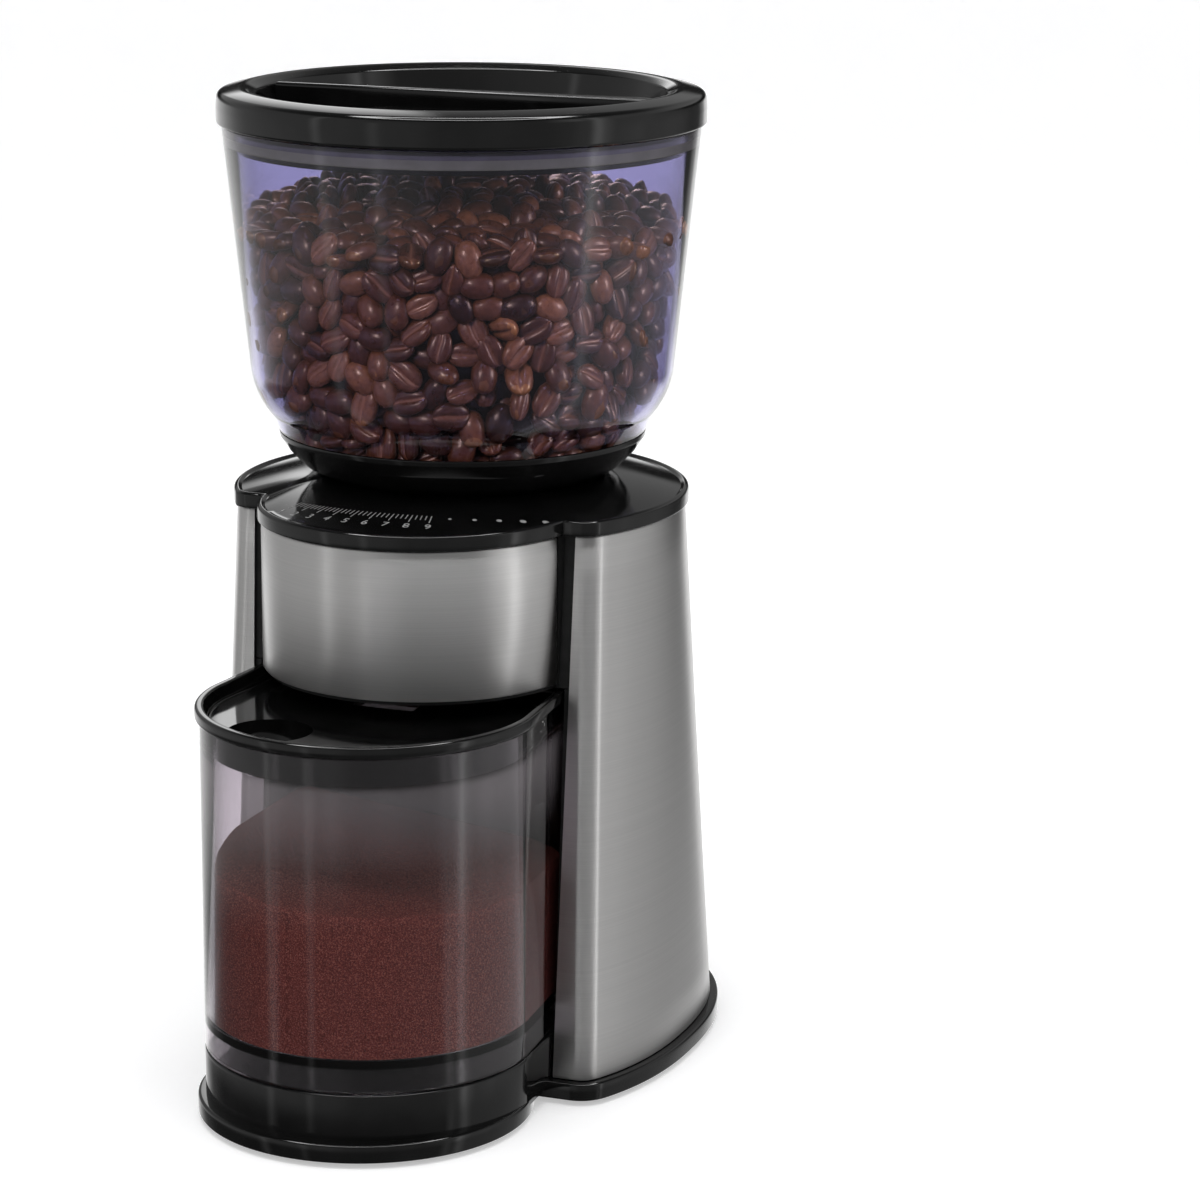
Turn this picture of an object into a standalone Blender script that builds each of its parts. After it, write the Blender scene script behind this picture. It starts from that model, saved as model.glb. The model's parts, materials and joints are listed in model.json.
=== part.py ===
"""Burr coffee grinder with a bean hopper on top and a pull-out grounds container.

The model's origin is on the floor below the middle of the grinder, +Z is up and the
container faces -Y. Most shapes are drawn about the burr axis, which the whole stack of
hopper, grinding ring and burrs shares, and are carried by one empty that stands on it.
"""
import math

import bmesh
import bpy
from mathutils import Matrix

MM = 0.001
GAP = 0.3 * MM

# Heights above the floor.
FOOT_HEIGHT = 1.5 * MM
BASE_BOTTOM = 1.6 * MM
LIP_TOP = 7.0 * MM
PLATFORM_TOP = 20.5 * MM
BIN_FLOOR = 30.0 * MM
BIN_TOP = 120.2 * MM
BIN_LID_TOP = 124.0 * MM
HEAD_BOTTOM = 125.0 * MM
PANEL_BOTTOM = 126.2 * MM
WRAP_TOP = 170.5 * MM
DECK_BOTTOM = 170.9 * MM
DECK_EDGE_TOP = 175.6 * MM
DECK_TOP = 179.8 * MM
COLLAR_BOTTOM = 180.3 * MM
BOWL_BOTTOM = 193.0 * MM
BOWL_KNUCKLE = 212.0 * MM
BOWL_TOP = 285.0 * MM
LID_TOP = 296.0 * MM

# Plan sizes, measured from the burr axis (Y is negative towards the container).
BASE_HALF_WIDTH = 75.0 * MM
BASE_HALF_DEPTH = 88.0 * MM
BASE_CENTRE = 3.0 * MM
WRAP_LOW = {"half_width": 72.5 * MM, "half_depth": 85.5 * MM, "centre": 3.0 * MM, "power": 2.3}
WRAP_HIGH = {"half_width": 68.0 * MM, "half_depth": 68.0 * MM, "centre": -1.0 * MM, "power": 2.0}
WRAP_FRONT_LOW = -51.0 * MM
WRAP_FRONT_HIGH = -39.0 * MM
FOLD_LOW = 49.4 * MM
FOLD_HIGH = 51.6 * MM
SHEET = 1.0 * MM
HEAD_RADIUS = 48.5 * MM
HEAD_CENTRE = -30.5 * MM
BIN_RADIUS = 49.4 * MM
BIN_CENTRE = -72.0 * MM
BIN_BACK = -27.0 * MM
BIN_BACK_HALF = 46.6 * MM
BIN_WALL = 2.2 * MM
LIP_RADIUS = 49.8 * MM
LIP_CENTRE = -76.4 * MM
PLATFORM_RADIUS = 49.4 * MM
BAY_HALF = 49.1 * MM
BAY_BACK = -25.0 * MM
BAY_CORNER = 6.0 * MM
LINER = 1.8 * MM
LID_RADIUS = 73.2 * MM
BOWL_TOP_RADIUS = 71.7 * MM
BOWL_KNUCKLE_RADIUS = 64.0 * MM
BOWL_BOTTOM_RADIUS = 55.6 * MM
BOWL_WALL = 2.2 * MM
DECK_RADIUS = 69.3 * MM
DECK_FRONT = -41.0 * MM
DECK_HOLE = 38.0 * MM

# Base.
SKIRT = 3.0 * MM
TRAY_ROOF = 4.0 * MM
SCREW_HOLE = 1.9 * MM
FOOT_SPOTS = {"front_left": (-28.0, -100.0), "front_right": (28.0, -100.0),
              "rear_left": (-48.0, 55.0), "rear_right": (48.0, 55.0)}
SCREW_SPOTS = {"front_left": (-42.0, -10.0), "front_right": (42.0, -10.0),
               "rear_left": (-35.0, 70.0), "rear_right": (35.0, 70.0)}

# Hopper lid.
LID_DISH_RADIUS = 61.0 * MM
LID_FLOOR = 284.0 * MM
LID_PLATE = 281.0 * MM
PLUG_RADIUS = 68.3 * MM
PLUG_LOW = 277.6 * MM
GROOVE_LOW = 278.8 * MM
GROOVE_HIGH = 284.0 * MM
GROOVE_DEPTH = 1.4 * MM

# Container lid.
DISH_FLOOR = 119.6 * MM
LID_PLUG_LOW = 111.5 * MM
SCOOP_X = -20.0 * MM
SCOOP_Y = -97.5 * MM
SCOOP_RADIUS = 14.0 * MM
SCOOP_WALL = 1.6 * MM

# Grinding works.
CHAMBER_RADIUS = 34.0 * MM
CHAMBER_WALL = 2.4 * MM
CHAMBER_LOW = 137.0 * MM
CHAMBER_HIGH = 166.0 * MM
CHAMBER_FLOOR = 2.5 * MM
CHUTE_HALF = 10.7 * MM
CHUTE_LENGTH = 17.4 * MM
CHUTE_Y = -55.0 * MM
CHUTE_WALL = 1.7 * MM
CHUTE_HIGH = 152.0 * MM
NECK_RADIUS = 30.1 * MM
FLUTES = 12
FLUTE_DEPTH = 1.3 * MM
FLUTE_SHAPE = (0.34, 0.10)
CONE_TWIST = 24.0
RING_TWIST = -12.0

# Drive train.
MODULE = 1.5 * MM
GEAR_TEETH = 38
PINION_TEETH = 10
MOTOR_Y = MODULE * (GEAR_TEETH + PINION_TEETH) / 2
GEAR_LOW = 129.0 * MM
GEAR_HIGH = 135.0 * MM
SHAFT_RADIUS = 4.0 * MM
MOTOR_SHAFT_RADIUS = 2.5 * MM
MOTOR_RADIUS = 30.0 * MM
MOTOR_LOW = 44.0 * MM
MOTOR_HIGH = 119.0 * MM
PLATE_LOW = 120.0 * MM
PLATE_HIGH = 123.0 * MM
BUSH_RADIUS = 8.0 * MM

# Controls on the left wing, the plunger that feels the container, and the cord's way out.
CONTROL_Y = 12.0 * MM
DIAL_Z = 92.0 * MM
DIAL_RADIUS = 15.0 * MM
DIAL_OUTER_X = -77.5 * MM
DIAL_INNER_X = -71.6 * MM
BUTTON_Z = 128.0 * MM
BUTTON_RADIUS = 6.0 * MM
BUTTON_OUTER_X = -72.4 * MM
BUTTON_TRAVEL = 2.0 * MM
BUTTON_STEM_END = 60.0 * MM
DIAL_SHAFT = 3.0 * MM
DIAL_SHAFT_LENGTH = 15.0 * MM
TIMER_DEPTH = 11.0 * MM
PLUNGER_RADIUS = 3.0 * MM
PLUNGER_X = -20.0 * MM
PLUNGER_Z = 100.0 * MM
GLAND_NECK = 5.0 * MM
GLAND_Z = 20.0 * MM

AXIS_X = -(DIAL_OUTER_X + BASE_HALF_WIDTH) / 2
AXIS_Y = -((LIP_CENTRE - LIP_RADIUS) + (BASE_CENTRE + BASE_HALF_DEPTH)) / 2

BLACK_GLOSS = ("black_gloss", (0.012, 0.012, 0.013), 0.16, 0.0)
BLACK_SATIN = ("black_satin", (0.016, 0.016, 0.017), 0.45, 0.0)
CLEAR_SMOKE = ("clear_smoke", (0.30, 0.26, 0.42), 0.08, 0.0)
STEEL = ("brushed_steel", (0.62, 0.61, 0.60), 0.32, 1.0)
BURR_STEEL = ("burr_steel", (0.42, 0.42, 0.43), 0.38, 1.0)
ZINC = ("zinc_plate", (0.55, 0.56, 0.58), 0.42, 1.0)
BRONZE = ("bronze", (0.62, 0.44, 0.22), 0.35, 1.0)
RUBBER = ("rubber", (0.03, 0.03, 0.03), 0.85, 0.0)
WHITE_NYLON = ("white_nylon", (0.78, 0.77, 0.72), 0.5, 0.0)
BOARD = ("circuit_board", (0.03, 0.18, 0.08), 0.55, 0.0)


# ---------------------------------------------------------------- tools

def clear_scene():
    for old in list(bpy.data.objects):
        bpy.data.objects.remove(old, do_unlink=True)


def material(spec):
    name, colour, roughness, metallic = spec
    found = bpy.data.materials.get(name)
    if found:
        return found
    made = bpy.data.materials.new(name)
    made.use_nodes = True
    shader = made.node_tree.nodes["Principled BSDF"]
    shader.inputs["Base Color"].default_value = (*colour, 1.0)
    shader.inputs["Roughness"].default_value = roughness
    shader.inputs["Metallic"].default_value = metallic
    return made


def place(name, bm, spec, location=(0.0, 0.0, 0.0), smooth_angle=35.0):
    """Turn a bmesh into a named object on the burr axis empty."""
    bmesh.ops.recalc_face_normals(bm, faces=bm.faces)
    mesh = bpy.data.meshes.new(name)
    bm.to_mesh(mesh)
    bm.free()
    mesh.shade_smooth()
    mesh.set_sharp_from_angle(angle=math.radians(smooth_angle))
    mesh.materials.append(material(spec))
    thing = bpy.data.objects.new(name, mesh)
    bpy.context.scene.collection.objects.link(thing)
    thing.parent = bpy.data.objects["burr_axis"]
    thing.location = location
    return thing


def boolean(target, tool, operation):
    """Join or cut with a tool object that is itself left out of the model."""
    tool.hide_render = True
    tool.display_type = 'WIRE'
    step = target.modifiers.new(tool.name, 'BOOLEAN')
    step.operation = operation
    step.object = tool
    step.solver = 'EXACT'
    return target


def loft(rings, closed=False):
    """Skin rings of matching point counts; the ends are capped unless the rings close."""
    bm = bmesh.new()
    rows = [[bm.verts.new(point) for point in ring] for ring in rings]
    pairs = list(zip(rows, rows[1:]))
    if closed:
        pairs.append((rows[-1], rows[0]))
    for low, high in pairs:
        for i in range(len(low)):
            j = (i + 1) % len(low)
            bm.faces.new((low[i], low[j], high[j], high[i]))
    if not closed:
        bm.faces.new(list(reversed(rows[0])))
        bm.faces.new(rows[-1])
    return bm


def at_height(outline, z):
    return [(x, y, z) for x, y in outline]


def prism(low, z_low, z_high, high=None):
    return loft([at_height(low, z_low), at_height(high or low, z_high)])


def turned(outline, steps=28):
    """Spin a closed (radius, z) outline about Z; points on the axis are merged."""
    bm = bmesh.new()
    verts = [bm.verts.new((radius, 0.0, z)) for radius, z in outline]
    edges = [bm.edges.new((verts[i], verts[(i + 1) % len(verts)])) for i in range(len(verts))]
    bmesh.ops.spin(bm, geom=verts + edges, cent=(0, 0, 0), axis=(0, 0, 1),
                   angle=math.tau, steps=steps, use_merge=True)
    bmesh.ops.remove_doubles(bm, verts=bm.verts, dist=0.00001)
    return bm


def disc(radius, z_low, z_high, steps=20):
    return turned([(0, z_low), (radius, z_low), (radius, z_high), (0, z_high)], steps)


def tube(inner, outer, z_low, z_high, steps=28):
    return turned([(inner, z_low), (outer, z_low), (outer, z_high), (inner, z_high)], steps)


def block(size, centre):
    bm = bmesh.new()
    bmesh.ops.create_cube(bm, size=1.0)
    bmesh.ops.scale(bm, vec=size, verts=bm.verts)
    bmesh.ops.translate(bm, vec=centre, verts=bm.verts)
    return bm


def box(low, high):
    """Block between two opposite corners."""
    size = [b - a for a, b in zip(low, high)]
    centre = [(a + b) / 2 for a, b in zip(low, high)]
    return block(size, centre)


def facing_left(bm):
    """Turn a shape built about +Z so that its axis points along -X."""
    turn = Matrix.Rotation(-math.pi / 2, 3, 'Y')
    bmesh.ops.rotate(bm, cent=(0, 0, 0), verts=bm.verts, matrix=turn)
    return bm


def facing_front(bm):
    """Turn a shape built about +Z so that its axis points along -Y."""
    turn = Matrix.Rotation(math.pi / 2, 3, 'X')
    bmesh.ops.rotate(bm, cent=(0, 0, 0), verts=bm.verts, matrix=turn)
    return bm


def arc(centre, radius, start, end, steps):
    """Points on an arc in plan, in degrees from +X, both ends included."""
    points = []
    for i in range(steps + 1):
        angle = math.radians(start + (end - start) * i / steps)
        points.append((centre[0] + radius * math.cos(angle), centre[1] + radius * math.sin(angle)))
    return points


def mirrored(points):
    return [(-x, y) for x, y in reversed(points)]


def blend(low, high, t):
    return low + (high - low) * t


def bezier2(start, pull, end, steps):
    """Points on a three-point curve in a plane, both ends included."""
    points = []
    for i in range(steps + 1):
        t = i / steps
        weights = ((1 - t) ** 2, 2 * t * (1 - t), t * t)
        points.append(tuple(sum(w * p[axis] for w, p in zip(weights, (start, pull, end)))
                            for axis in (0, 1)))
    return points


# ---------------------------------------------------------------- plan outlines

def oval_point(oval, angle):
    """Point on a superellipse at a parameter angle in radians."""
    c, s = math.cos(angle), math.sin(angle)
    power = 2.0 / oval["power"]
    x = oval["half_width"] * math.copysign(abs(c) ** power, c)
    y = oval["centre"] + oval["half_depth"] * math.copysign(abs(s) ** power, s)
    return x, y


def oval_angle(oval, y):
    """Parameter angle of the superellipse's right side at a given y."""
    reach = (y - oval["centre"]) / oval["half_depth"]
    return math.asin(math.copysign(abs(reach) ** (oval["power"] / 2.0), reach))


def wrap_path(oval, front, inner_x, corner=4.0 * MM, steps=14):
    """The body's plan curve, from the right wing's front fold round the back to the left fold."""
    start = oval_angle(oval, front + corner)
    side = [oval_point(oval, blend(start, math.pi / 2, i / steps)) for i in range(steps + 1)]
    outer_x = oval_point(oval, oval_angle(oval, front))[0]
    fold = bezier2((outer_x - corner, front), (outer_x, front), side[0], 5)
    half = [(inner_x, front)] + fold[:-1] + side
    return half + mirrored(half)[1:]


def shrunk(oval, amount):
    small = dict(oval)
    small["half_width"] -= amount
    small["half_depth"] -= amount
    return small


def wrap_oval(z):
    """The wrap's oval at any height, between its bottom and top ovals."""
    t = (z - LIP_TOP) / (WRAP_TOP - LIP_TOP)
    return {key: blend(WRAP_LOW[key], WRAP_HIGH[key], t) for key in WRAP_LOW}


def wrap_front(z):
    return blend(WRAP_FRONT_LOW, WRAP_FRONT_HIGH, (z - LIP_TOP) / (WRAP_TOP - LIP_TOP))


def wrap_fold(z):
    return blend(FOLD_LOW, FOLD_HIGH, (z - LIP_TOP) / (WRAP_TOP - LIP_TOP))


def tub_outline(inset=0.0, steps=20, back_corner=7.0 * MM):
    """Plan of the grounds container: round front, slightly tapering sides, rounded back corners."""
    radius = BIN_RADIUS - inset
    back = BIN_BACK - inset
    side = BIN_BACK_HALF - inset
    corner = max(back_corner - inset, 1.0 * MM)
    front = arc((0.0, BIN_CENTRE), radius, -90, 0, steps // 2)
    rear = arc((side - corner, back - corner), corner, 0, 90, 3)
    half = front + rear
    return half[1:] + mirrored(half)[:-1] + [half[0]]


def base_outline(grow=0.0):
    """The base lip: a round tongue under the container joined to the body's oval."""
    oval = {"half_width": BASE_HALF_WIDTH + grow, "half_depth": BASE_HALF_DEPTH + grow,
            "centre": BASE_CENTRE, "power": 2.3}
    front = WRAP_FRONT_LOW - 2.5 * MM - grow
    radius = LIP_RADIUS + grow
    meet = math.degrees(math.asin((front - LIP_CENTRE) / radius))
    tongue = arc((0.0, LIP_CENTRE), radius, -90, meet, 12)
    body = wrap_path(oval, front, tongue[-1][0] + 1.0 * MM, corner=6.0 * MM)
    half_count = len(body) // 2
    half = tongue + body[:half_count + 1]
    return half + mirrored(half)[1:-1]


def deck_outline(radius, front_radius, front):
    """The top cover's plan: the wing circle with the head's front circle let into it."""
    wing_x = math.sqrt(radius ** 2 - (front - WRAP_HIGH["centre"]) ** 2)
    wing_start = math.degrees(math.atan2(front + 2.5 * MM - WRAP_HIGH["centre"], wing_x))
    front_end = math.degrees(math.asin((front - HEAD_CENTRE) / front_radius))
    nose = arc((0.0, HEAD_CENTRE), front_radius, -90, front_end, 9)
    wing = arc((0.0, WRAP_HIGH["centre"]), radius, wing_start, 90, 13)
    half = nose + [(wing_x - 2.0 * MM, front)] + wing
    return half + mirrored(half)[1:-1]


def platform_outline(inset):
    """The plinth that the container stands on."""
    room = 0.4 * MM + inset
    rear = arc((BAY_HALF - BAY_CORNER, BAY_BACK - BAY_CORNER), BAY_CORNER - room, 0, 90, 4)
    front = arc((0.0, BIN_CENTRE), PLATFORM_RADIUS - inset, -90, 0, 14)
    half = front + [(BAY_HALF - room, WRAP_FRONT_LOW)] + rear
    return half + mirrored(half)[:-1]


# ---------------------------------------------------------------- base

def screw_hole_cutter(name, z_low, z_high, spot):
    hole = disc(SCREW_HOLE, z_low, z_high, 10)
    return place(name, hole, ZINC, (spot[0] * MM, spot[1] * MM, 0.0))


def base_tray():
    tray = place("base_tray", prism(base_outline(), BASE_BOTTOM, LIP_TOP), BLACK_GLOSS)
    plinth = prism(platform_outline(0.0), LIP_TOP - 2.0 * MM, PLATFORM_TOP)
    boolean(tray, place("plinth_tool", plinth, BLACK_GLOSS), 'UNION')
    hollow = place("skirt_tool", prism(base_outline(-SKIRT), -SKIRT, TRAY_ROOF), BLACK_GLOSS)
    boolean(tray, hollow, 'DIFFERENCE')
    inside = prism(platform_outline(SKIRT), TRAY_ROOF - 1.0 * MM, PLATFORM_TOP - SKIRT)
    boolean(tray, place("plinth_hollow_tool", inside, BLACK_GLOSS), 'DIFFERENCE')
    low, high = TRAY_ROOF - 1.0 * MM, LIP_TOP + 1.0 * MM
    for corner, spot in SCREW_SPOTS.items():
        hole = screw_hole_cutter("tray_hole_tool_" + corner, low, high, spot)
        boolean(tray, hole, 'DIFFERENCE')


def bottom_plate():
    low, high = FOOT_HEIGHT + GAP, TRAY_ROOF - GAP
    plate = place("bottom_plate", prism(base_outline(-SKIRT - 2 * GAP), low, high), BLACK_SATIN)
    for corner, spot in SCREW_SPOTS.items():
        hole = screw_hole_cutter("plate_hole_tool_" + corner, low - 1.0 * MM, high + 1.0 * MM, spot)
        boolean(plate, hole, 'DIFFERENCE')


def feet():
    rim = 0.5 * MM
    radius = 8.0 * MM
    profile = [(0, 0), (radius - rim, 0), (radius, rim), (radius, FOOT_HEIGHT), (0, FOOT_HEIGHT)]
    for corner, (x, y) in FOOT_SPOTS.items():
        place("foot_" + corner, turned(profile, 18), RUBBER, (x * MM, y * MM, 0.0))


def base_screws():
    low, seat, tip = 0.6 * MM, FOOT_HEIGHT, LIP_TOP - 1.0 * MM
    head, shank = 3.2 * MM, 1.5 * MM
    profile = [(0, low), (head, low), (head, seat), (shank, seat), (shank, tip), (0, tip)]
    for corner, (x, y) in SCREW_SPOTS.items():
        place("base_screw_" + corner, turned(profile, 10), ZINC, (x * MM, y * MM, 0.0))


# ---------------------------------------------------------------- body shells

def sheet_ring(oval, front, inner_x, z):
    outside = wrap_path(oval, front, inner_x)
    inside = wrap_path(shrunk(oval, SHEET), front + SHEET, inner_x)
    return at_height(outside + list(reversed(inside)), z)


def wrap_shell():
    """Brushed sheet round the back and both wings, folded in at its front edges."""
    low = sheet_ring(WRAP_LOW, WRAP_FRONT_LOW, FOLD_LOW, LIP_TOP + GAP)
    high = sheet_ring(WRAP_HIGH, WRAP_FRONT_HIGH, FOLD_HIGH, WRAP_TOP)
    wrap = place("wrap_shell", loft([low, high]), STEEL)
    left, back = -70.0 * MM, 86.0 * MM
    reach = 6.0 * MM
    dial = facing_left(disc(DIAL_SHAFT + 0.8 * MM, -reach, reach, 14))
    boolean(wrap, place("dial_hole_tool", dial, STEEL, (left, CONTROL_Y, DIAL_Z)), 'DIFFERENCE')
    button = facing_left(disc(BUTTON_RADIUS + 0.5 * MM, -reach, reach, 20))
    boolean(wrap, place("button_hole_tool", button, STEEL, (left, CONTROL_Y, BUTTON_Z)), 'DIFFERENCE')
    gland = facing_front(disc(GLAND_NECK + 0.6 * MM, -reach, reach, 16))
    boolean(wrap, place("gland_hole_tool", gland, STEEL, (0.0, back, GLAND_Z)), 'DIFFERENCE')


def liner_ring(front, z):
    """U-shaped plan of the bay liner, open towards the container."""
    centre = (BAY_HALF - BAY_CORNER, BAY_BACK - BAY_CORNER)
    inner = [(BAY_HALF, front)] + arc(centre, BAY_CORNER, 0, 90, 5)
    outer = [(BAY_HALF + LINER, front)] + arc(centre, BAY_CORNER + LINER, 0, 90, 5)
    inner_face = inner + mirrored(inner)
    outer_face = outer + mirrored(outer)
    return at_height(inner_face + list(reversed(outer_face)), z)


def bay_liner():
    """Black moulding that lines the bay behind the container."""
    z_low, z_high = LIP_TOP + GAP, HEAD_BOTTOM - GAP
    low = liner_ring(wrap_front(z_low) + SHEET + GAP, z_low)
    high = liner_ring(wrap_front(z_high) + SHEET + GAP, z_high)
    liner = place("bay_liner", loft([low, high]), BLACK_SATIN)
    hole = facing_front(disc(PLUNGER_RADIUS + 0.5 * MM, -6.0 * MM, 6.0 * MM, 14))
    spot = (PLUNGER_X, BAY_BACK, PLUNGER_Z)
    boolean(liner, place("plunger_hole_tool", hole, BLACK_SATIN, spot), 'DIFFERENCE')


def front_panel():
    edge = 14.0
    outside = arc((0.0, HEAD_CENTRE), HEAD_RADIUS, -edge, -180 + edge, 28)
    inside = arc((0.0, HEAD_CENTRE), HEAD_RADIUS - SHEET, -180 + edge, -edge, 28)
    place("front_panel", prism(outside + inside, PANEL_BOTTOM, WRAP_TOP), STEEL)


def frame_ring(z):
    """Plan of the head frame: a curved wall behind the panel with a fin behind each wing fold."""
    fin_front = wrap_front(z) + SHEET + GAP
    fin_depth = 2.4 * MM
    fin_reach = 53.0 * MM
    panel_end = -13.2
    wall_out = HEAD_RADIUS - SHEET - GAP
    wall_in = wall_out - 2.4 * MM
    meet = math.degrees(math.asin((fin_front - HEAD_CENTRE) / HEAD_RADIUS))
    inner_meet = math.degrees(math.asin((fin_front + fin_depth - HEAD_CENTRE) / wall_in))
    outer = arc((0.0, HEAD_CENTRE), wall_out, -90, panel_end, 12)
    shoulder = arc((0.0, HEAD_CENTRE), HEAD_RADIUS, panel_end, meet, 1)
    fin = [(fin_reach, fin_front), (fin_reach, fin_front + fin_depth)]
    inner = arc((0.0, HEAD_CENTRE), wall_in, inner_meet, -90, 12)
    right = outer + shoulder + fin
    return at_height(mirrored(right)[:-1] + right + inner + mirrored(inner)[1:], z)


def head_frame():
    place("head_frame", loft([frame_ring(HEAD_BOTTOM), frame_ring(WRAP_TOP)]), BLACK_SATIN)


def head_floor():
    """Underside of the head, with the hole that the outlet chute drops through."""
    radius = HEAD_RADIUS - SHEET - 3.0 * MM
    front = arc((0.0, HEAD_CENTRE), radius, -90, 0, 14)
    thickness = 2.0 * MM
    half = front + [(radius, BAY_BACK - 0.4 * MM)]
    plate = prism(half + mirrored(half)[:-1], HEAD_BOTTOM, HEAD_BOTTOM + thickness)
    floor = place("head_floor", plate, BLACK_SATIN)
    size = (2 * CHUTE_HALF + 2 * GAP, CHUTE_LENGTH + 2 * GAP, 4 * thickness)
    hole = block(size, (0.0, CHUTE_Y, HEAD_BOTTOM))
    boolean(floor, place("chute_hole_tool", hole, BLACK_SATIN), 'DIFFERENCE')


def deck_cover():
    """Domed black cover between the steel body and the hopper collar."""
    wall = 2.4 * MM
    chamfer = 0.6 * MM
    rim_share = 0.07
    outline = deck_outline(DECK_RADIUS, HEAD_RADIUS + 1.1 * MM, DECK_FRONT)
    hole = [(DECK_HOLE * x / math.hypot(x, y), DECK_HOLE * y / math.hypot(x, y)) for x, y in outline]

    def between(t, z):
        return [(blend(a[0], b[0], t), blend(a[1], b[1], t), z) for a, b in zip(outline, hole)]

    def dome(t, drop):
        rise = (DECK_TOP - DECK_EDGE_TOP) * math.sin(t * math.pi / 2)
        return between(t, DECK_EDGE_TOP - drop + rise)

    top = [dome(t, 0.0) for t in (0.03, 0.25, 0.6, 1.0)]
    under = [dome(t, wall) for t in (1.0, 0.4, rim_share)]
    edge = [between(rim_share, DECK_BOTTOM), between(chamfer / DECK_RADIUS, DECK_BOTTOM),
            between(0.0, DECK_BOTTOM + chamfer), between(0.0, DECK_EDGE_TOP - chamfer)]
    place("deck_cover", loft(edge + top + under, closed=True), BLACK_GLOSS)


# ---------------------------------------------------------------- grinding works

def outlet_chute():
    """Channel that carries the grounds forward from the chamber and drops them in the container."""
    half, bore = CHUTE_HALF, CHUTE_HALF - CHUTE_WALL
    back = -CHAMBER_RADIUS - 2 * GAP
    front, rear = CHUTE_Y - CHUTE_LENGTH / 2, CHUTE_Y + CHUTE_LENGTH / 2
    low, high = CHAMBER_LOW + CHUTE_WALL, CHUTE_HIGH - CHUTE_WALL
    past = 5.0 * MM
    drop = box((-half, front, HEAD_BOTTOM), (half, rear, CHUTE_HIGH))
    chute = place("outlet_chute", drop, BLACK_SATIN)
    channel = box((-half, CHUTE_Y, CHAMBER_LOW), (half, back, CHUTE_HIGH))
    boolean(chute, place("channel_tool", channel, BLACK_SATIN), 'UNION')
    along = box((-bore, front + CHUTE_WALL, low), (bore, back + past, high))
    boolean(chute, place("channel_bore_tool", along, BLACK_SATIN), 'DIFFERENCE')
    down = box((-bore, front + CHUTE_WALL, HEAD_BOTTOM - past), (bore, rear - CHUTE_WALL, high))
    boolean(chute, place("drop_bore_tool", down, BLACK_SATIN), 'DIFFERENCE')


def burr_chamber():
    inner = CHAMBER_RADIUS - CHAMBER_WALL
    floor = CHAMBER_LOW + CHAMBER_FLOOR
    hole = SHAFT_RADIUS + 2.0 * MM
    profile = [(hole, CHAMBER_LOW), (CHAMBER_RADIUS, CHAMBER_LOW), (CHAMBER_RADIUS, CHAMBER_HIGH),
               (inner, CHAMBER_HIGH), (inner, floor), (hole, floor)]
    chamber = place("burr_chamber", turned(profile), BLACK_SATIN)
    half = CHUTE_HALF - CHUTE_WALL
    reach = 6.0 * MM
    mouth = box((-half, -CHAMBER_RADIUS - reach, floor),
                (half, -CHAMBER_RADIUS + reach, CHUTE_HIGH - CHUTE_WALL))
    boolean(chamber, place("chamber_mouth_tool", mouth, BLACK_SATIN), 'DIFFERENCE')


def toothed(teeth, root, tip, phase, root_half=0.30, tip_half=0.12):
    """Outline of straight-sided teeth, one centred on the phase in degrees; halves are pitch shares."""
    pitch = math.tau / teeth
    points = []
    for k in range(teeth):
        middle = math.radians(phase) + k * pitch
        for share, radius in ((-root_half, root), (-tip_half, tip), (tip_half, tip), (root_half, root)):
            angle = middle + share * pitch
            points.append((radius * math.cos(angle), radius * math.sin(angle)))
    return points


def bored(name, bm, spec, radius, z_low, z_high, location=(0.0, 0.0, 0.0)):
    thing = place(name, bm, spec, location)
    bore = place(name + "_bore_tool", disc(radius, z_low - MM, z_high + MM, 16), spec, location)
    return boolean(thing, bore, 'DIFFERENCE')


def gear_pair():
    """Spur gears that step the motor down; the pinion has a gap where the gear has a tooth."""
    addendum, dedendum = 0.85 * MODULE, 1.15 * MODULE
    gear_radius = MODULE * GEAR_TEETH / 2
    pinion_radius = MODULE * PINION_TEETH / 2
    gear = toothed(GEAR_TEETH, gear_radius - dedendum, gear_radius + addendum, 90.0)
    bored("burr_gear", prism(gear, GEAR_LOW, GEAR_HIGH), WHITE_NYLON, SHAFT_RADIUS + GAP, GEAR_LOW,
          GEAR_HIGH)
    gap_forward = 270.0 + 180.0 / PINION_TEETH
    pinion = toothed(PINION_TEETH, pinion_radius - dedendum, pinion_radius + addendum, gap_forward)
    low, high = GEAR_LOW - MM, GEAR_HIGH + MM
    bored("motor_pinion", prism(pinion, low, high), BRONZE, MOTOR_SHAFT_RADIUS + GAP, low, high,
          (0.0, MOTOR_Y, 0.0))


def burr_shaft():
    place("burr_shaft", disc(SHAFT_RADIUS, MOTOR_HIGH - 2.0 * MM, 168.0 * MM, 16), ZINC)


def grounds_sweeper():
    """Arms under the burrs that push the grounds round to the chute."""
    low, high = CHAMBER_LOW + CHAMBER_FLOOR + 2 * GAP, 144.0 * MM
    arms = toothed(4, 9.0 * MM, 29.0 * MM, 45.0, 0.16, 0.03)
    bored("grounds_sweeper", prism(arms, low, high), WHITE_NYLON, SHAFT_RADIUS + GAP, low, high)


def cone_burr():
    """Turning inner burr; its flutes twist on the way up."""
    low, high = 145.0 * MM, CHAMBER_HIGH
    rings = []
    for t in (0.0, 0.5, 1.0):
        radius = blend(20.0 * MM, 11.0 * MM, t)
        outline = toothed(FLUTES, radius - FLUTE_DEPTH, radius, CONE_TWIST * t, *FLUTE_SHAPE)
        rings.append(at_height(outline, blend(low, high, t)))
    bored("cone_burr", loft(rings), BURR_STEEL, SHAFT_RADIUS + GAP, low, high)


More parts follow.
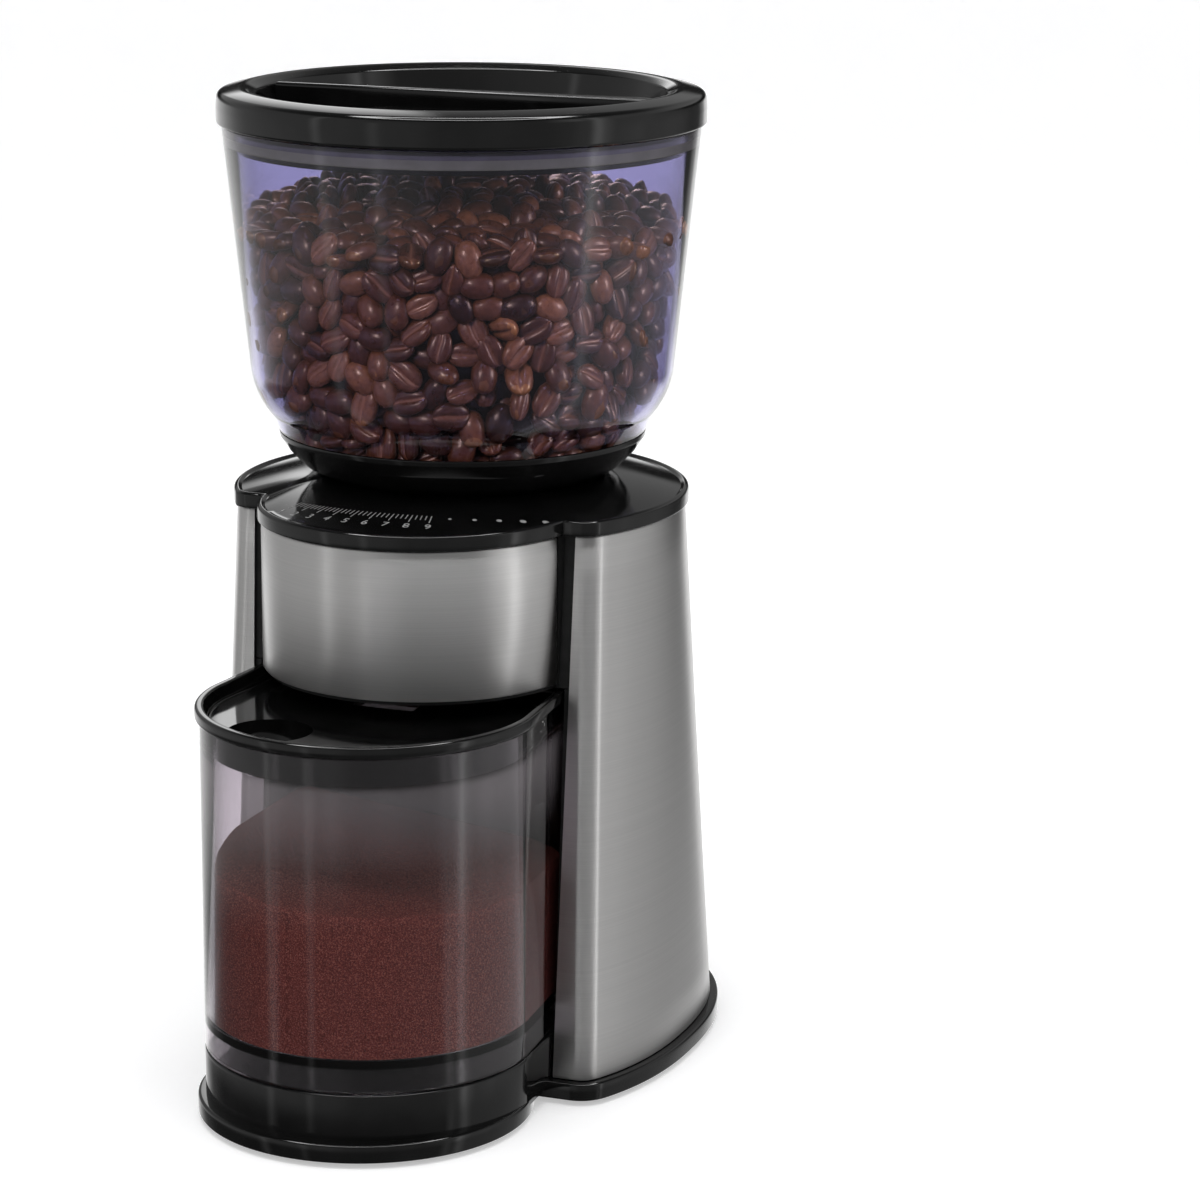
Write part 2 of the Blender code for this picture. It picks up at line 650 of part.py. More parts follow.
def ring_burr():
    """Fixed outer burr; it hangs in the adjusting ring and turns with it to set the grind."""
    low, high = 147.5 * MM, CHAMBER_HIGH
    outside = CHAMBER_RADIUS - CHAMBER_WALL - 3 * GAP

    def ring(root, tip, twist, z):
        return at_height(toothed(FLUTES, root, tip, twist, *FLUTE_SHAPE), z)

    small, large = 15.2 * MM, 22.2 * MM
    rings = [ring(outside, outside, 0.0, low), ring(outside, outside, 0.0, high),
             ring(small + FLUTE_DEPTH, small, RING_TWIST, high),
             ring(large + FLUTE_DEPTH, large, 0.0, low)]
    place("ring_burr", loft(rings, closed=True), BURR_STEEL)


def adjusting_ring():
    """Carries the ring burr, screws round the chamber and is turned by the hopper."""
    throat, floor_low, floor_high = 17.0 * MM, CHAMBER_HIGH + 0.4 * MM, 168.8 * MM
    skirt_in, outer = CHAMBER_RADIUS + 0.5 * MM, 36.6 * MM
    skirt_low, top = 156.0 * MM, 178.8 * MM
    socket = NECK_RADIUS + 0.4 * MM
    profile = [(throat, floor_low), (skirt_in, floor_low), (skirt_in, skirt_low), (outer, skirt_low),
               (outer, top), (socket, top), (socket, floor_high), (throat, floor_high)]
    place("adjusting_ring", turned(profile), WHITE_NYLON)


def drive_plate():
    """Steel plate that carries the motor and the burr shaft's bush."""
    half = 36.0 * MM
    corner = 10.0 * MM
    front, back = -22.0 * MM, 58.0 * MM
    rear = arc((half - corner, back - corner), corner, 0, 90, 4)
    nose = arc((half - corner, front + corner), corner, -90, 0, 4)
    right = nose + rear
    plate = place("drive_plate", prism(right + mirrored(right), PLATE_LOW, PLATE_HIGH), ZINC)
    holes = (("bush_hole_tool", BUSH_RADIUS + GAP, 0.0), ("motor_hole_tool", 6.0 * MM, MOTOR_Y))
    for name, radius, y in holes:
        hole = disc(radius, PLATE_LOW - MM, PLATE_HIGH + MM, 32)
        boolean(plate, place(name, hole, ZINC, (0.0, y, 0.0)), 'DIFFERENCE')


def shaft_bush():
    bore, low = SHAFT_RADIUS + GAP, MOTOR_HIGH + GAP
    flange, seat, top = 11.0 * MM, PLATE_HIGH + GAP, PLATE_HIGH + 2.0 * MM
    profile = [(bore, low), (BUSH_RADIUS, low), (BUSH_RADIUS, seat), (flange, seat), (flange, top),
               (bore, top)]
    place("shaft_bush", turned(profile, 20), BRONZE)


# ---------------------------------------------------------------- motor

def motor():
    """Motor standing behind the bay: can, magnets, end bell, rotor and cooling fan."""
    at = (0.0, MOTOR_Y, 0.0)
    wall = 1.6 * MM
    shaft_hole = 5.0 * MM
    inner = MOTOR_RADIUS - wall
    can = [(shaft_hole, MOTOR_HIGH - wall), (inner, MOTOR_HIGH - wall), (inner, MOTOR_LOW),
           (MOTOR_RADIUS, MOTOR_LOW), (MOTOR_RADIUS, MOTOR_HIGH), (shaft_hole, MOTOR_HIGH)]
    place("motor_can", turned(can), ZINC, at)
    magnet_in, core_radius = 21.5 * MM, 20.5 * MM
    place("magnet_ring", tube(magnet_in, inner - GAP, 54.0 * MM, 110.0 * MM), BURR_STEEL, at)
    bell_low, bell_high = MOTOR_LOW - 3.5 * MM, MOTOR_LOW - GAP
    place("motor_end_bell", tube(shaft_hole, MOTOR_RADIUS, bell_low, bell_high), BLACK_SATIN, at)
    place("motor_shaft", disc(MOTOR_SHAFT_RADIUS, 24.0 * MM, GEAR_HIGH + MM, 12), ZINC, at)
    core = tube(MOTOR_SHAFT_RADIUS + GAP, core_radius, 56.0 * MM, 108.0 * MM)
    place("rotor_core", core, BURR_STEEL, at)
    fan_low, fan_high = 27.0 * MM, 36.0 * MM
    blades = toothed(9, 8.0 * MM, 26.0 * MM, 0.0, 0.10, 0.03)
    bored("cooling_fan", prism(blades, fan_low, fan_high), WHITE_NYLON, MOTOR_SHAFT_RADIUS + GAP,
          fan_low, fan_high, at)
    cradle = tube(28.0 * MM, 33.0 * MM, LIP_TOP + GAP, bell_low - GAP)
    place("motor_cradle", cradle, BLACK_SATIN, at)


# ---------------------------------------------------------------- hopper

def bowl_side(inset):
    """One face of the bowl wall from its top edge down to the collar."""
    start = (BOWL_KNUCKLE_RADIUS - inset, BOWL_KNUCKLE)
    pull = (BOWL_KNUCKLE_RADIUS - 1.0 * MM - inset, BOWL_KNUCKLE - 8.5 * MM + inset * 0.4)
    end = (BOWL_BOTTOM_RADIUS + 2.0 * MM - inset, BOWL_BOTTOM + 4.6 * MM + inset * 0.5)
    knuckle = bezier2(start, pull, end, 4)
    return [(BOWL_TOP_RADIUS - inset, BOWL_TOP)] + knuckle + [(BOWL_BOTTOM_RADIUS - inset, BOWL_BOTTOM)]


def hopper_bowl():
    outline = bowl_side(0.0) + list(reversed(bowl_side(BOWL_WALL)))
    place("hopper_bowl", turned(outline, 40), CLEAR_SMOKE)


def hopper_collar():
    """Black funnel under the bowl: a seat for the bowl, a sloping floor and a neck that plugs in."""
    rim = BOWL_BOTTOM - GAP
    neck_in, neck_low = NECK_RADIUS - 2.6 * MM, 169.2 * MM
    outline = [(BOWL_BOTTOM_RADIUS, rim), (52.7 * MM, 187.0 * MM), (48.2 * MM, 182.6 * MM),
               (44.0 * MM, COLLAR_BOTTOM), (NECK_RADIUS, COLLAR_BOTTOM), (NECK_RADIUS, neck_low),
               (neck_in, neck_low), (neck_in, 182.0 * MM), (50.6 * MM, 189.8 * MM),
               (BOWL_BOTTOM_RADIUS - BOWL_WALL, rim)]
    place("hopper_collar", turned(outline, 40), BLACK_GLOSS)


def hopper_lid():
    """Dished lid with a raised rim, a grip bar across the dish and a plug with a seal groove."""
    flange = BOWL_TOP + GAP
    plug_in = PLUG_RADIUS - 2.5 * MM
    groove_in = PLUG_RADIUS - GROOVE_DEPTH
    rim = [(LID_DISH_RADIUS, LID_TOP - 3.0 * MM), (63.6 * MM, LID_TOP - 0.6 * MM), (67.4 * MM, LID_TOP),
           (70.6 * MM, LID_TOP - 0.5 * MM), (72.5 * MM, LID_TOP - 2.0 * MM),
           (LID_RADIUS, LID_TOP - 4.5 * MM), (LID_RADIUS, flange + 1.0 * MM),
           (LID_RADIUS - 0.8 * MM, flange)]
    plug = [(PLUG_RADIUS, flange), (PLUG_RADIUS, GROOVE_HIGH), (groove_in, GROOVE_HIGH),
            (groove_in, GROOVE_LOW), (PLUG_RADIUS, GROOVE_LOW), (PLUG_RADIUS, PLUG_LOW),
            (plug_in, PLUG_LOW), (plug_in, LID_PLATE), (0, LID_PLATE)]
    dish = [(0, LID_FLOOR), (57.0 * MM, LID_FLOOR), (59.4 * MM, LID_FLOOR + 1.4 * MM)]
    lid = place("hopper_lid", turned(dish + rim + plug, 40), BLACK_GLOSS)
    bar_half = LID_DISH_RADIUS - 0.5 * MM
    bar = box((-bar_half, -2.5 * MM, LID_PLATE + 1.0 * MM), (bar_half, 2.5 * MM, LID_TOP - 2.0 * MM))
    boolean(lid, place("grip_bar_tool", bar, BLACK_GLOSS), 'UNION')
    seal = tube(groove_in + GAP, PLUG_RADIUS + 0.45 * MM, GROOVE_LOW + GAP, GROOVE_HIGH - GAP, 40)
    place("lid_seal", seal, RUBBER)


# ---------------------------------------------------------------- grounds container

def container_bin():
    """Clear tub with a raised floor and an open skirt below it."""
    low = PLATFORM_TOP + GAP
    shelf = BIN_FLOOR - 2.0 * MM
    rings = [at_height(tub_outline(BIN_WALL), shelf), at_height(tub_outline(BIN_WALL), low),
             at_height(tub_outline(), low), at_height(tub_outline(), BIN_TOP),
             at_height(tub_outline(BIN_WALL), BIN_TOP), at_height(tub_outline(BIN_WALL), BIN_FLOOR)]
    place("container_bin", loft(rings), CLEAR_SMOKE)


def container_lid():
    """Dished lid with an inlet under the chute and a finger scoop at the front left."""
    plug_out, plug_in = BIN_WALL + 0.4 * MM, BIN_WALL + 2.2 * MM
    rim = BIN_TOP + GAP
    underside = DISH_FLOOR - 2.0 * MM
    levels = [(plug_in, underside), (plug_in, LID_PLUG_LOW), (plug_out, LID_PLUG_LOW), (plug_out, rim),
              (-1.3 * MM, rim), (-1.4 * MM, BIN_LID_TOP - 0.9 * MM), (-0.8 * MM, BIN_LID_TOP),
              (0.4 * MM, BIN_LID_TOP), (1.2 * MM, BIN_LID_TOP - 0.6 * MM), (2.4 * MM, DISH_FLOOR)]
    rings = [at_height(tub_outline(inset), z) for inset, z in levels]
    lid = place("container_lid", loft(rings), BLACK_GLOSS)
    spot = (SCOOP_X, SCOOP_Y, DISH_FLOOR - 1.0 * MM)
    shell = turned(ball_side(SCOOP_RADIUS) + [(0.0, 0.0)], 18)
    boolean(lid, place("scoop_shell_tool", shell, BLACK_GLOSS, spot), 'UNION')
    inner, above = SCOOP_RADIUS - SCOOP_WALL, 8.0 * MM
    void = turned(ball_side(inner) + [(inner, above), (0.0, above)], 18)
    boolean(lid, place("scoop_tool", void, BLACK_GLOSS, spot), 'DIFFERENCE')
    size = (2 * CHUTE_HALF - 2.0 * MM, CHUTE_LENGTH - 2.0 * MM, 20.0 * MM)
    inlet = block(size, (0.0, CHUTE_Y, DISH_FLOOR))
    boolean(lid, place("inlet_tool", inlet, BLACK_GLOSS), 'DIFFERENCE')


def ball_side(radius):
    """(radius, z) points up the lower half of a ball, from its foot to its widest ring."""
    return arc((0.0, 0.0), radius, -90, 0, 5)


# ---------------------------------------------------------------- controls and wiring

def selector_dial():
    """Cup selector on the left wing: knurled skirt, grip bar and shaft, turning about X."""
    depth = DIAL_INNER_X - DIAL_OUTER_X
    skirt = toothed(18, DIAL_RADIUS - 0.5 * MM, DIAL_RADIUS, 0.0, 0.30, 0.20)
    face = toothed(18, DIAL_RADIUS - 1.6 * MM, DIAL_RADIUS - 1.2 * MM, 0.0, 0.30, 0.20)
    rings = [at_height(skirt, 0.0), at_height(skirt, depth * 0.45), at_height(face, depth * 0.6)]
    spot = (DIAL_INNER_X, CONTROL_Y, DIAL_Z)
    dial = place("selector_dial", facing_left(loft(rings)), BLACK_GLOSS, spot)
    bar = block((depth, 5.0 * MM, 2 * DIAL_RADIUS - 7.0 * MM), (-depth / 2, 0.0, 0.0))
    boolean(dial, place("dial_grip_tool", bar, BLACK_GLOSS, spot), 'UNION')
    shaft = facing_left(disc(DIAL_SHAFT, -DIAL_SHAFT_LENGTH, 1.0 * MM, 14))
    boolean(dial, place("dial_shaft_tool", shaft, BLACK_GLOSS, spot), 'UNION')


def rotary_timer():
    body = facing_left(disc(11.0 * MM, 0.0, TIMER_DEPTH))
    x = DIAL_INNER_X + DIAL_SHAFT_LENGTH + 0.4 * MM + TIMER_DEPTH
    place("rotary_timer", body, BLACK_SATIN, (x, CONTROL_Y, DIAL_Z))


def start_button():
    """Push button with a retaining flange behind the wrap and a stem onto its switch."""
    flange, stem = BUTTON_RADIUS + 1.6 * MM, 2.4 * MM
    cap, seat = -BUTTON_OUTER_X, 65.2 * MM
    back = seat - 1.5 * MM
    profile = [(0, cap), (BUTTON_RADIUS - 0.6 * MM, cap), (BUTTON_RADIUS, cap - 0.6 * MM),
               (BUTTON_RADIUS, seat), (flange, seat), (flange, back), (stem, back),
               (stem, BUTTON_STEM_END), (0, BUTTON_STEM_END)]
    place("start_button", facing_left(turned(profile, 20)), BLACK_GLOSS, (0.0, CONTROL_Y, BUTTON_Z))


def start_switch():
    depth = 8.0 * MM
    front = -BUTTON_STEM_END + BUTTON_TRAVEL + 2 * GAP
    body = block((depth, 12.0 * MM, 12.0 * MM), (front + depth / 2, CONTROL_Y, BUTTON_Z))
    place("start_switch", body, BLACK_SATIN)


def timer_board():
    """Control board standing behind the left wing, between the timer and the motor."""
    board = block((1.6 * MM, 42.0 * MM, 34.0 * MM), (-52.0 * MM, CONTROL_Y, 55.0 * MM))
    place("timer_board", board, BOARD)


def interlock():
    """Plunger through the bay's back wall that feels the container, and the switch behind it."""
    flange = PLUNGER_RADIUS + 1.6 * MM
    tip = -BIN_BACK - 0.5 * MM
    wall_back = -BAY_BACK - LINER
    seat, back, end = wall_back - 2 * GAP, wall_back - 2.2 * MM, 15.0 * MM
    stem, chamfer = 2.0 * MM, 0.8 * MM
    profile = [(0, tip), (PLUNGER_RADIUS - chamfer, tip), (PLUNGER_RADIUS, tip - chamfer),
               (PLUNGER_RADIUS, seat), (flange, seat), (flange, back), (stem, back), (stem, end), (0, end)]
    plunger = facing_front(turned(profile, 14))
    place("interlock_plunger", plunger, BLACK_SATIN, (PLUNGER_X, 0.0, PLUNGER_Z))
    switch = block((10.0 * MM, 7.0 * MM, 16.0 * MM), (PLUNGER_X, -8.0 * MM, PLUNGER_Z))
    place("interlock_switch", switch, BLACK_SATIN)


def cord_gland():
    """Grommet in the back of the wrap where the supply cord would leave."""
    wall = oval_point(wrap_oval(GLAND_Z), math.pi / 2)[1]
    slope = 1.4 * MM
    flange, entry = 7.6 * MM, 3.2 * MM
    outside, inside = wall + slope, wall - SHEET - slope
    lip, end, nut = outside + 1.4 * MM, outside + 2.4 * MM, inside - 2.4 * MM
    profile = [(0, -outside), (entry, -outside), (entry, -end), (GLAND_NECK, -end), (flange, -lip),
               (flange, -outside), (GLAND_NECK, -outside), (GLAND_NECK, -inside), (flange, -inside),
               (flange, -nut), (0, -nut)]
    place("cord_gland", facing_front(turned(profile, 16)), RUBBER, (0.0, 0.0, GLAND_Z))


def lead(name, route, radius, steps=14):
    """Round cable through a few points given in millimetres, smoothed with a Catmull-Rom curve."""
    points = [route[0]] + route + [route[-1]]
    smooth = []
    spans = len(route) - 1
    for i in range(steps + 1):
        along = spans * i / steps
        k = min(int(along), spans - 1)
        t = along - k
        where = []
        for p, q, r, s in zip(*points[k:k + 4]):
            bend = (r - p) * t + (2 * p - 5 * q + 4 * r - s) * t ** 2 + (3 * q - p - 3 * r + s) * t ** 3
            where.append((q + bend / 2) * MM)
        smooth.append(where)
    curve = bpy.data.curves.new(name, 'CURVE')
    curve.dimensions = '3D'
    curve.bevel_depth = radius
    curve.bevel_resolution = 2
    curve.use_fill_caps = True
    spline = curve.splines.new('POLY')
    spline.points.add(len(smooth) - 1)
    for point, where in zip(spline.points, smooth):
        point.co = (*where, 1.0)
    curve.materials.append(material(RUBBER))
    cable = bpy.data.objects.new(name, curve)
    bpy.context.scene.collection.objects.link(cable)
    cable.parent = bpy.data.objects["burr_axis"]


def wiring():
    lead("supply_lead", [(0, 79, 20), (-22, 75, 20), (-44, 56, 22), (-52, 36, 25), (-52, 22, 34)], 1.8 * MM)
    lead("motor_lead", [(-50, 2, 56), (-45, 6, 52), (-38, 16, 47), (-32, 26, 43)], 1.2 * MM)


# ---------------------------------------------------------------- build

def main():
    clear_scene()
    axis = bpy.data.objects.new("burr_axis", None)
    axis.location = (AXIS_X, AXIS_Y, 0.0)
    bpy.context.scene.collection.objects.link(axis)
    for make in (base_tray, bottom_plate, feet, base_screws, wrap_shell, bay_liner, front_panel,
                 head_frame, head_floor, deck_cover, outlet_chute, burr_chamber, gear_pair, burr_shaft,
                 grounds_sweeper, cone_burr, ring_burr, adjusting_ring, drive_plate, shaft_bush, motor,
                 hopper_bowl, hopper_collar, hopper_lid, container_bin, container_lid, selector_dial,
                 rotary_timer, start_button, start_switch, timer_board, interlock, cord_gland, wiring):
        make()


main()
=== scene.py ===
"""Looks of the burr coffee grinder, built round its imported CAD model.

Shapes are drawn about the burr axis, as the CAD is: +Z up, the container facing -Y.
Outer sizes and places are read from the CAD nodes; the sizes named here are the small
radii, wall thicknesses and contents that the CAD leaves plain. Units are metres.
"""
import json
import math
import random

import bmesh
import bpy
import numpy as np
from mathutils import Matrix, Quaternion, Vector, noise
from mathutils.bvhtree import BVHTree


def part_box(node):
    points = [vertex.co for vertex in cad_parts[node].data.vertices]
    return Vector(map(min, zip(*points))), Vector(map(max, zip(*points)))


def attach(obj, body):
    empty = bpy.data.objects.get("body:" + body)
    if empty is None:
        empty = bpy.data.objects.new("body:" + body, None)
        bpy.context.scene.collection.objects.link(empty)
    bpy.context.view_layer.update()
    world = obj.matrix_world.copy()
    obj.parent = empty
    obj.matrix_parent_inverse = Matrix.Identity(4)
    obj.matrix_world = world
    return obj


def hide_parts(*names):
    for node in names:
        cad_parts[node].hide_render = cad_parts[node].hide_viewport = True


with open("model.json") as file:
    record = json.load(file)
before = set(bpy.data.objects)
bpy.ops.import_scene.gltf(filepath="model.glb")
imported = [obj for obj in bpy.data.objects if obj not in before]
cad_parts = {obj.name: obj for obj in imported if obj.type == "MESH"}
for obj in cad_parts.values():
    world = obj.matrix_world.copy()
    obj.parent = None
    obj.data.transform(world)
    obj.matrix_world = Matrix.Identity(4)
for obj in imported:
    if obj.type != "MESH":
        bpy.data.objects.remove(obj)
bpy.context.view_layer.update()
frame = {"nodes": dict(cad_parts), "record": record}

MM = 0.001
SMOOTH_ANGLE = math.radians(40)
SOFT_ANGLE = math.radians(50)
SOFT_EDGE = 0.15 * MM
ROUND_STEPS = 160
UP, LEFT, REAR = (0, 0, 1), (-1, 0, 0), (0, 1, 0)

# ------------------------ places read from the frame

LID_LOW, LID_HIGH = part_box("hopper_lid")
BOWL_LOW, BOWL_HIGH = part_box("hopper_bowl")
COLLAR_LOW, COLLAR_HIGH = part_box("hopper_collar")
DECK_LOW, DECK_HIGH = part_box("deck_cover")
PANEL_LOW, PANEL_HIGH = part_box("front_panel")
WRAP_LOW_CORNER, WRAP_HIGH_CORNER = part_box("wrap_shell")
BIN_LOW, BIN_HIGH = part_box("container_bin")
BIN_LID_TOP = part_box("container_lid")[1].z
BASE_LOW, BASE_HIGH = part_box("base_tray")
DIAL_LOW, DIAL_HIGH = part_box("selector_dial")
BUTTON_LOW, BUTTON_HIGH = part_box("start_button")
GLAND_LOW, GLAND_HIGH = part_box("cord_gland")
CHUTE_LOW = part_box("outlet_chute")[0]

AXIS = (LID_LOW + LID_HIGH) / 2
AXIS_X, AXIS_Y = AXIS.x, AXIS.y

LID_RADIUS = (LID_HIGH.x - LID_LOW.x) / 2
LID_TOP = LID_HIGH.z
BOWL_TOP_RADIUS = (BOWL_HIGH.x - BOWL_LOW.x) / 2
BOWL_TOP, BOWL_BOTTOM = BOWL_HIGH.z, BOWL_LOW.z
COLLAR_RADIUS = (COLLAR_HIGH.x - COLLAR_LOW.x) / 2
BIN_RADIUS = (BIN_HIGH.x - BIN_LOW.x) / 2
BIN_CENTRE = BIN_LOW.y - AXIS_Y + BIN_RADIUS
BIN_BACK = BIN_HIGH.y - AXIS_Y
BIN_TOP, BIN_SKIRT = BIN_HIGH.z, BIN_LOW.z
BASE_HALF_WIDTH = (BASE_HIGH.x - BASE_LOW.x) / 2
BASE_REAR = BASE_HIGH.y - AXIS_Y
BASE_FRONT = BASE_LOW.y - AXIS_Y
WRAP_HALF_WIDTH = (WRAP_HIGH_CORNER.x - WRAP_LOW_CORNER.x) / 2
WRAP_REAR = WRAP_HIGH_CORNER.y - AXIS_Y
WRAP_BOTTOM, WRAP_TOP = WRAP_LOW_CORNER.z, WRAP_HIGH_CORNER.z
WRAP_FRONT_LOW = WRAP_LOW_CORNER.y - AXIS_Y
PANEL_FRONT = PANEL_LOW.y - AXIS_Y
DECK_RADIUS = (DECK_HIGH.x - DECK_LOW.x) / 2
CHUTE_HALF_DEPTH = 8.7 * MM
INLET_Y = CHUTE_LOW.y - AXIS_Y + CHUTE_HALF_DEPTH

# ------------------------ sizes of the fine shapes

BOWL_WALL = 2.2 * MM
BOWL_KNUCKLE = 212.0 * MM
BOWL_KNUCKLE_RADIUS = 64.0 * MM
BIN_WALL = 2.2 * MM
BIN_FLOOR = 30.0 * MM
BIN_BACK_HALF = 46.6 * MM
SHEET = 1.0 * MM
ROLLED_HEIGHT = 0.4 * MM
ROLLED_TUCK = 0.25 * MM
PANEL_RADIUS = 48.5 * MM
PANEL_CENTRE = PANEL_FRONT + PANEL_RADIUS
WRAP_HALF_DEPTH = 85.5 * MM
WRAP_LOW = {"half_width": WRAP_HALF_WIDTH, "half_depth": WRAP_HALF_DEPTH,
            "centre": WRAP_REAR - WRAP_HALF_DEPTH, "power": 2.3}
WRAP_HIGH = {"half_width": 68.0 * MM, "half_depth": 68.0 * MM, "centre": -1.0 * MM, "power": 2.0}
WRAP_FRONT_HIGH = -39.0 * MM
FOLD_LOW = 49.4 * MM
FOLD_HIGH = 51.6 * MM
BASE_HALF_DEPTH = 88.0 * MM
LIP_RADIUS = 49.8 * MM
LIP_CENTRE = BASE_FRONT + LIP_RADIUS
LIP_TOP = 7.0 * MM
PLATFORM_RADIUS = 49.4 * MM
DECK_CENTRE = -1.0 * MM
DECK_FRONT = -41.0 * MM
DECK_HOLE = 38.0 * MM
DISH_FLOOR = 119.6 * MM
SCOOP_X = -20.0 * MM
SCOOP_Y = -97.5 * MM
SCOOP_RADIUS = 14.0 * MM
MOUND_EDGE = 257.0 * MM
MOUND_RISE = 10.0 * MM
MOUND_RADIUS = 66.0 * MM
BEANS_LOW = 191.0 * MM
FUNNEL_NECK = (27.5 * MM, 182.0 * MM)
FUNNEL_MOUTH = (50.6 * MM, 189.8 * MM)
GROUNDS_EDGE = 73.0 * MM
GROUNDS_RISE = 7.0 * MM
DUST_LOW = 86.0 * MM
DUST_HIGH = 106.0 * MM
DUST_TOP = 110.0 * MM

# Reflected surroundings, one ring for each height from the floor up: the elevations over which it fades
# in, then its brightness at bearings from the front towards the right. Angles are in degrees.
SURROUND_PEAK = 14.0
SURROUND = [
    ((-90, -90), [(-180, 1.2), (-140, 1.0), (-118, 0.20), (-100, 0.07), (-54, 0.08), (-49, 0.5),
                  (-44, 0.08), (-22, 0.10), (-19, 0.4), (-16, 0.10), (0, 0.12), (30, 0.12), (74, 0.20),
                  (79, 0.6), (84, 0.35), (89, 1.0), (95, 0.45), (125, 0.40), (145, 0.40), (165, 0.70),
                  (180, 1.2)]),
    ((-19, -15.5), [(-180, 1.2), (-150, 1.2), (-125, 1.05), (-108, 0.62), (-98, 0.50), (-75, 0.58),
                    (-53, 0.60), (-49, 1.2), (-45, 0.60), (-23, 0.54), (-19, 1.0), (-15, 0.54), (0, 0.50),
                    (12, 0.33), (62, 0.33), (74, 0.42), (79, 0.6), (84, 0.60), (88, 2.1), (92, 1.1),
                    (98, 0.64), (112, 0.70), (118, 0.56), (135, 0.44), (146, 0.28), (157, 0.12),
                    (168, 0.10), (177, 0.6), (180, 1.1)]),
    ((-3, 3), [(-180, 0.02), (-140, 0.02), (-110, 0.40), (-98, 0.50), (-53, 0.60), (-49, 1.3), (-45, 0.60),
               (-23, 0.54), (-19, 1.0), (-15, 0.54), (0, 0.50), (12, 0.33), (62, 0.33), (74, 0.42),
               (79, 0.6), (84, 0.60), (88, 2.1), (92, 1.1), (98, 0.64), (118, 0.56), (135, 0.30),
               (150, 0.05), (180, 0.02)]),
    ((8, 12), [(-180, 0.30), (-156, 0.30), (-154.5, 2.3), (-151, 2.0), (-147, 0.35), (-110, 0.40),
               (-53, 0.60), (-49, 1.3), (-45, 0.60), (0, 0.45), (12, 0.33), (62, 0.33), (79, 1.2),
               (84, 0.60), (88, 1.9), (96, 0.75), (118, 0.60), (150, 0.60), (180, 0.30)]),
    ((26, 46), [(-180, 0.10), (180, 0.10)]),
    ((62, 64), [(-180, 14.0), (180, 14.0)]),
    ((69, 71), [(-180, 0.7), (180, 0.7)])]


# ------------------------ mesh tools

def placed(name, data):
    """A new object for a mesh, curve, lamp or lens, linked into the scene."""
    thing = bpy.data.objects.new(name, data)
    bpy.context.scene.collection.objects.link(thing)
    return thing


def mesh_from(name, bm):
    """Turn a bmesh into a mesh and free it."""
    mesh = bpy.data.meshes.new(name)
    bm.to_mesh(mesh)
    bm.free()
    return mesh


def finish_mesh(name, bm, material, body):
    """Turn a bmesh drawn about the burr axis into a smooth piece that rides on a CAD body."""
    bmesh.ops.recalc_face_normals(bm, faces=bm.faces)
    mesh = mesh_from(name, bm)
    mesh.shade_smooth()
    mesh.set_sharp_from_angle(angle=SMOOTH_ANGLE)
    return finish_piece(name, mesh, material, body)


def finish_piece(name, mesh, material, body):
    """Place a mesh drawn about the burr axis, with its material, as a piece that rides on a CAD body."""
    mesh.materials.clear()
    mesh.materials.append(material)
    piece = placed(name, mesh)
    piece.location = (AXIS_X, AXIS_Y, 0.0)
    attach(piece, body)
    return piece


def bend(start, corner, end, t):
    """A point on the curve that leaves start towards corner and reaches end from it."""
    shares = ((1 - t) ** 2, 2 * t * (1 - t), t * t)
    return tuple(shares[0] * a + shares[1] * b + shares[2] * c for a, b, c in zip(start, corner, end))


def filleted(corners, closed=True, steps=5):
    """Round an outline's corners; each corner is (across, up) or (across, up, radius)."""
    most_of_a_side = 0.48
    points = []
    for i, corner in enumerate(corners):
        here = Vector(corner[:2])
        radius = corner[2] if len(corner) > 2 else 0.0
        if not radius or (not closed and i in (0, len(corners) - 1)):
            points.append(tuple(here))
            continue
        before = Vector(corners[i - 1][:2]) - here
        after = Vector(corners[(i + 1) % len(corners)][:2]) - here
        shorter = min(before.length, after.length)
        cut = min(radius / math.tan(before.angle(after) / 2), most_of_a_side * shorter)
        start = here + before.normalized() * cut
        end = here + after.normalized() * cut
        points += [bend(start, here, end, k / steps) for k in range(steps + 1)]
    return points


def spun(outline, steps=ROUND_STEPS):
    """Turn a closed (radius, z) outline about Z."""
    bm = bmesh.new()
    verts = [bm.verts.new((radius, 0.0, z)) for radius, z in outline]
    edges = [bm.edges.new((verts[i], verts[(i + 1) % len(verts)])) for i in range(len(verts))]
    bmesh.ops.spin(bm, geom=verts + edges, cent=(0, 0, 0), axis=(0, 0, 1), angle=math.tau, steps=steps,
                   use_merge=True)
    bmesh.ops.remove_doubles(bm, verts=bm.verts, dist=0.004 * MM)
    return bm


def loft(rings, closed=False):
    """Skin rings of matching point counts; the ends are capped unless the rings close."""
    bm = bmesh.new()
    rows = [[bm.verts.new(point) for point in ring] for ring in rings]
    pairs = list(zip(rows, rows[1:]))
    if closed:
        pairs.append((rows[-1], rows[0]))
    for low, high in pairs:
        for i in range(len(low)):
            j = (i + 1) % len(low)
            bm.faces.new((low[i], low[j], high[j], high[i]))
    if not closed:
        bm.faces.new(list(reversed(rows[0])))
        bm.faces.new(rows[-1])
    return bm


def block(size, centre, round_by=0.0):
    """A box with its edges rounded if round_by is given."""
    bm = bmesh.new()
    bmesh.ops.create_cube(bm, size=1.0)
    bmesh.ops.scale(bm, vec=size, verts=bm.verts)
    if round_by:
        bmesh.ops.bevel(bm, geom=bm.edges[:], offset=round_by, segments=4, profile=0.5, affect='EDGES')
    bmesh.ops.translate(bm, vec=centre, verts=bm.verts)
    return bm


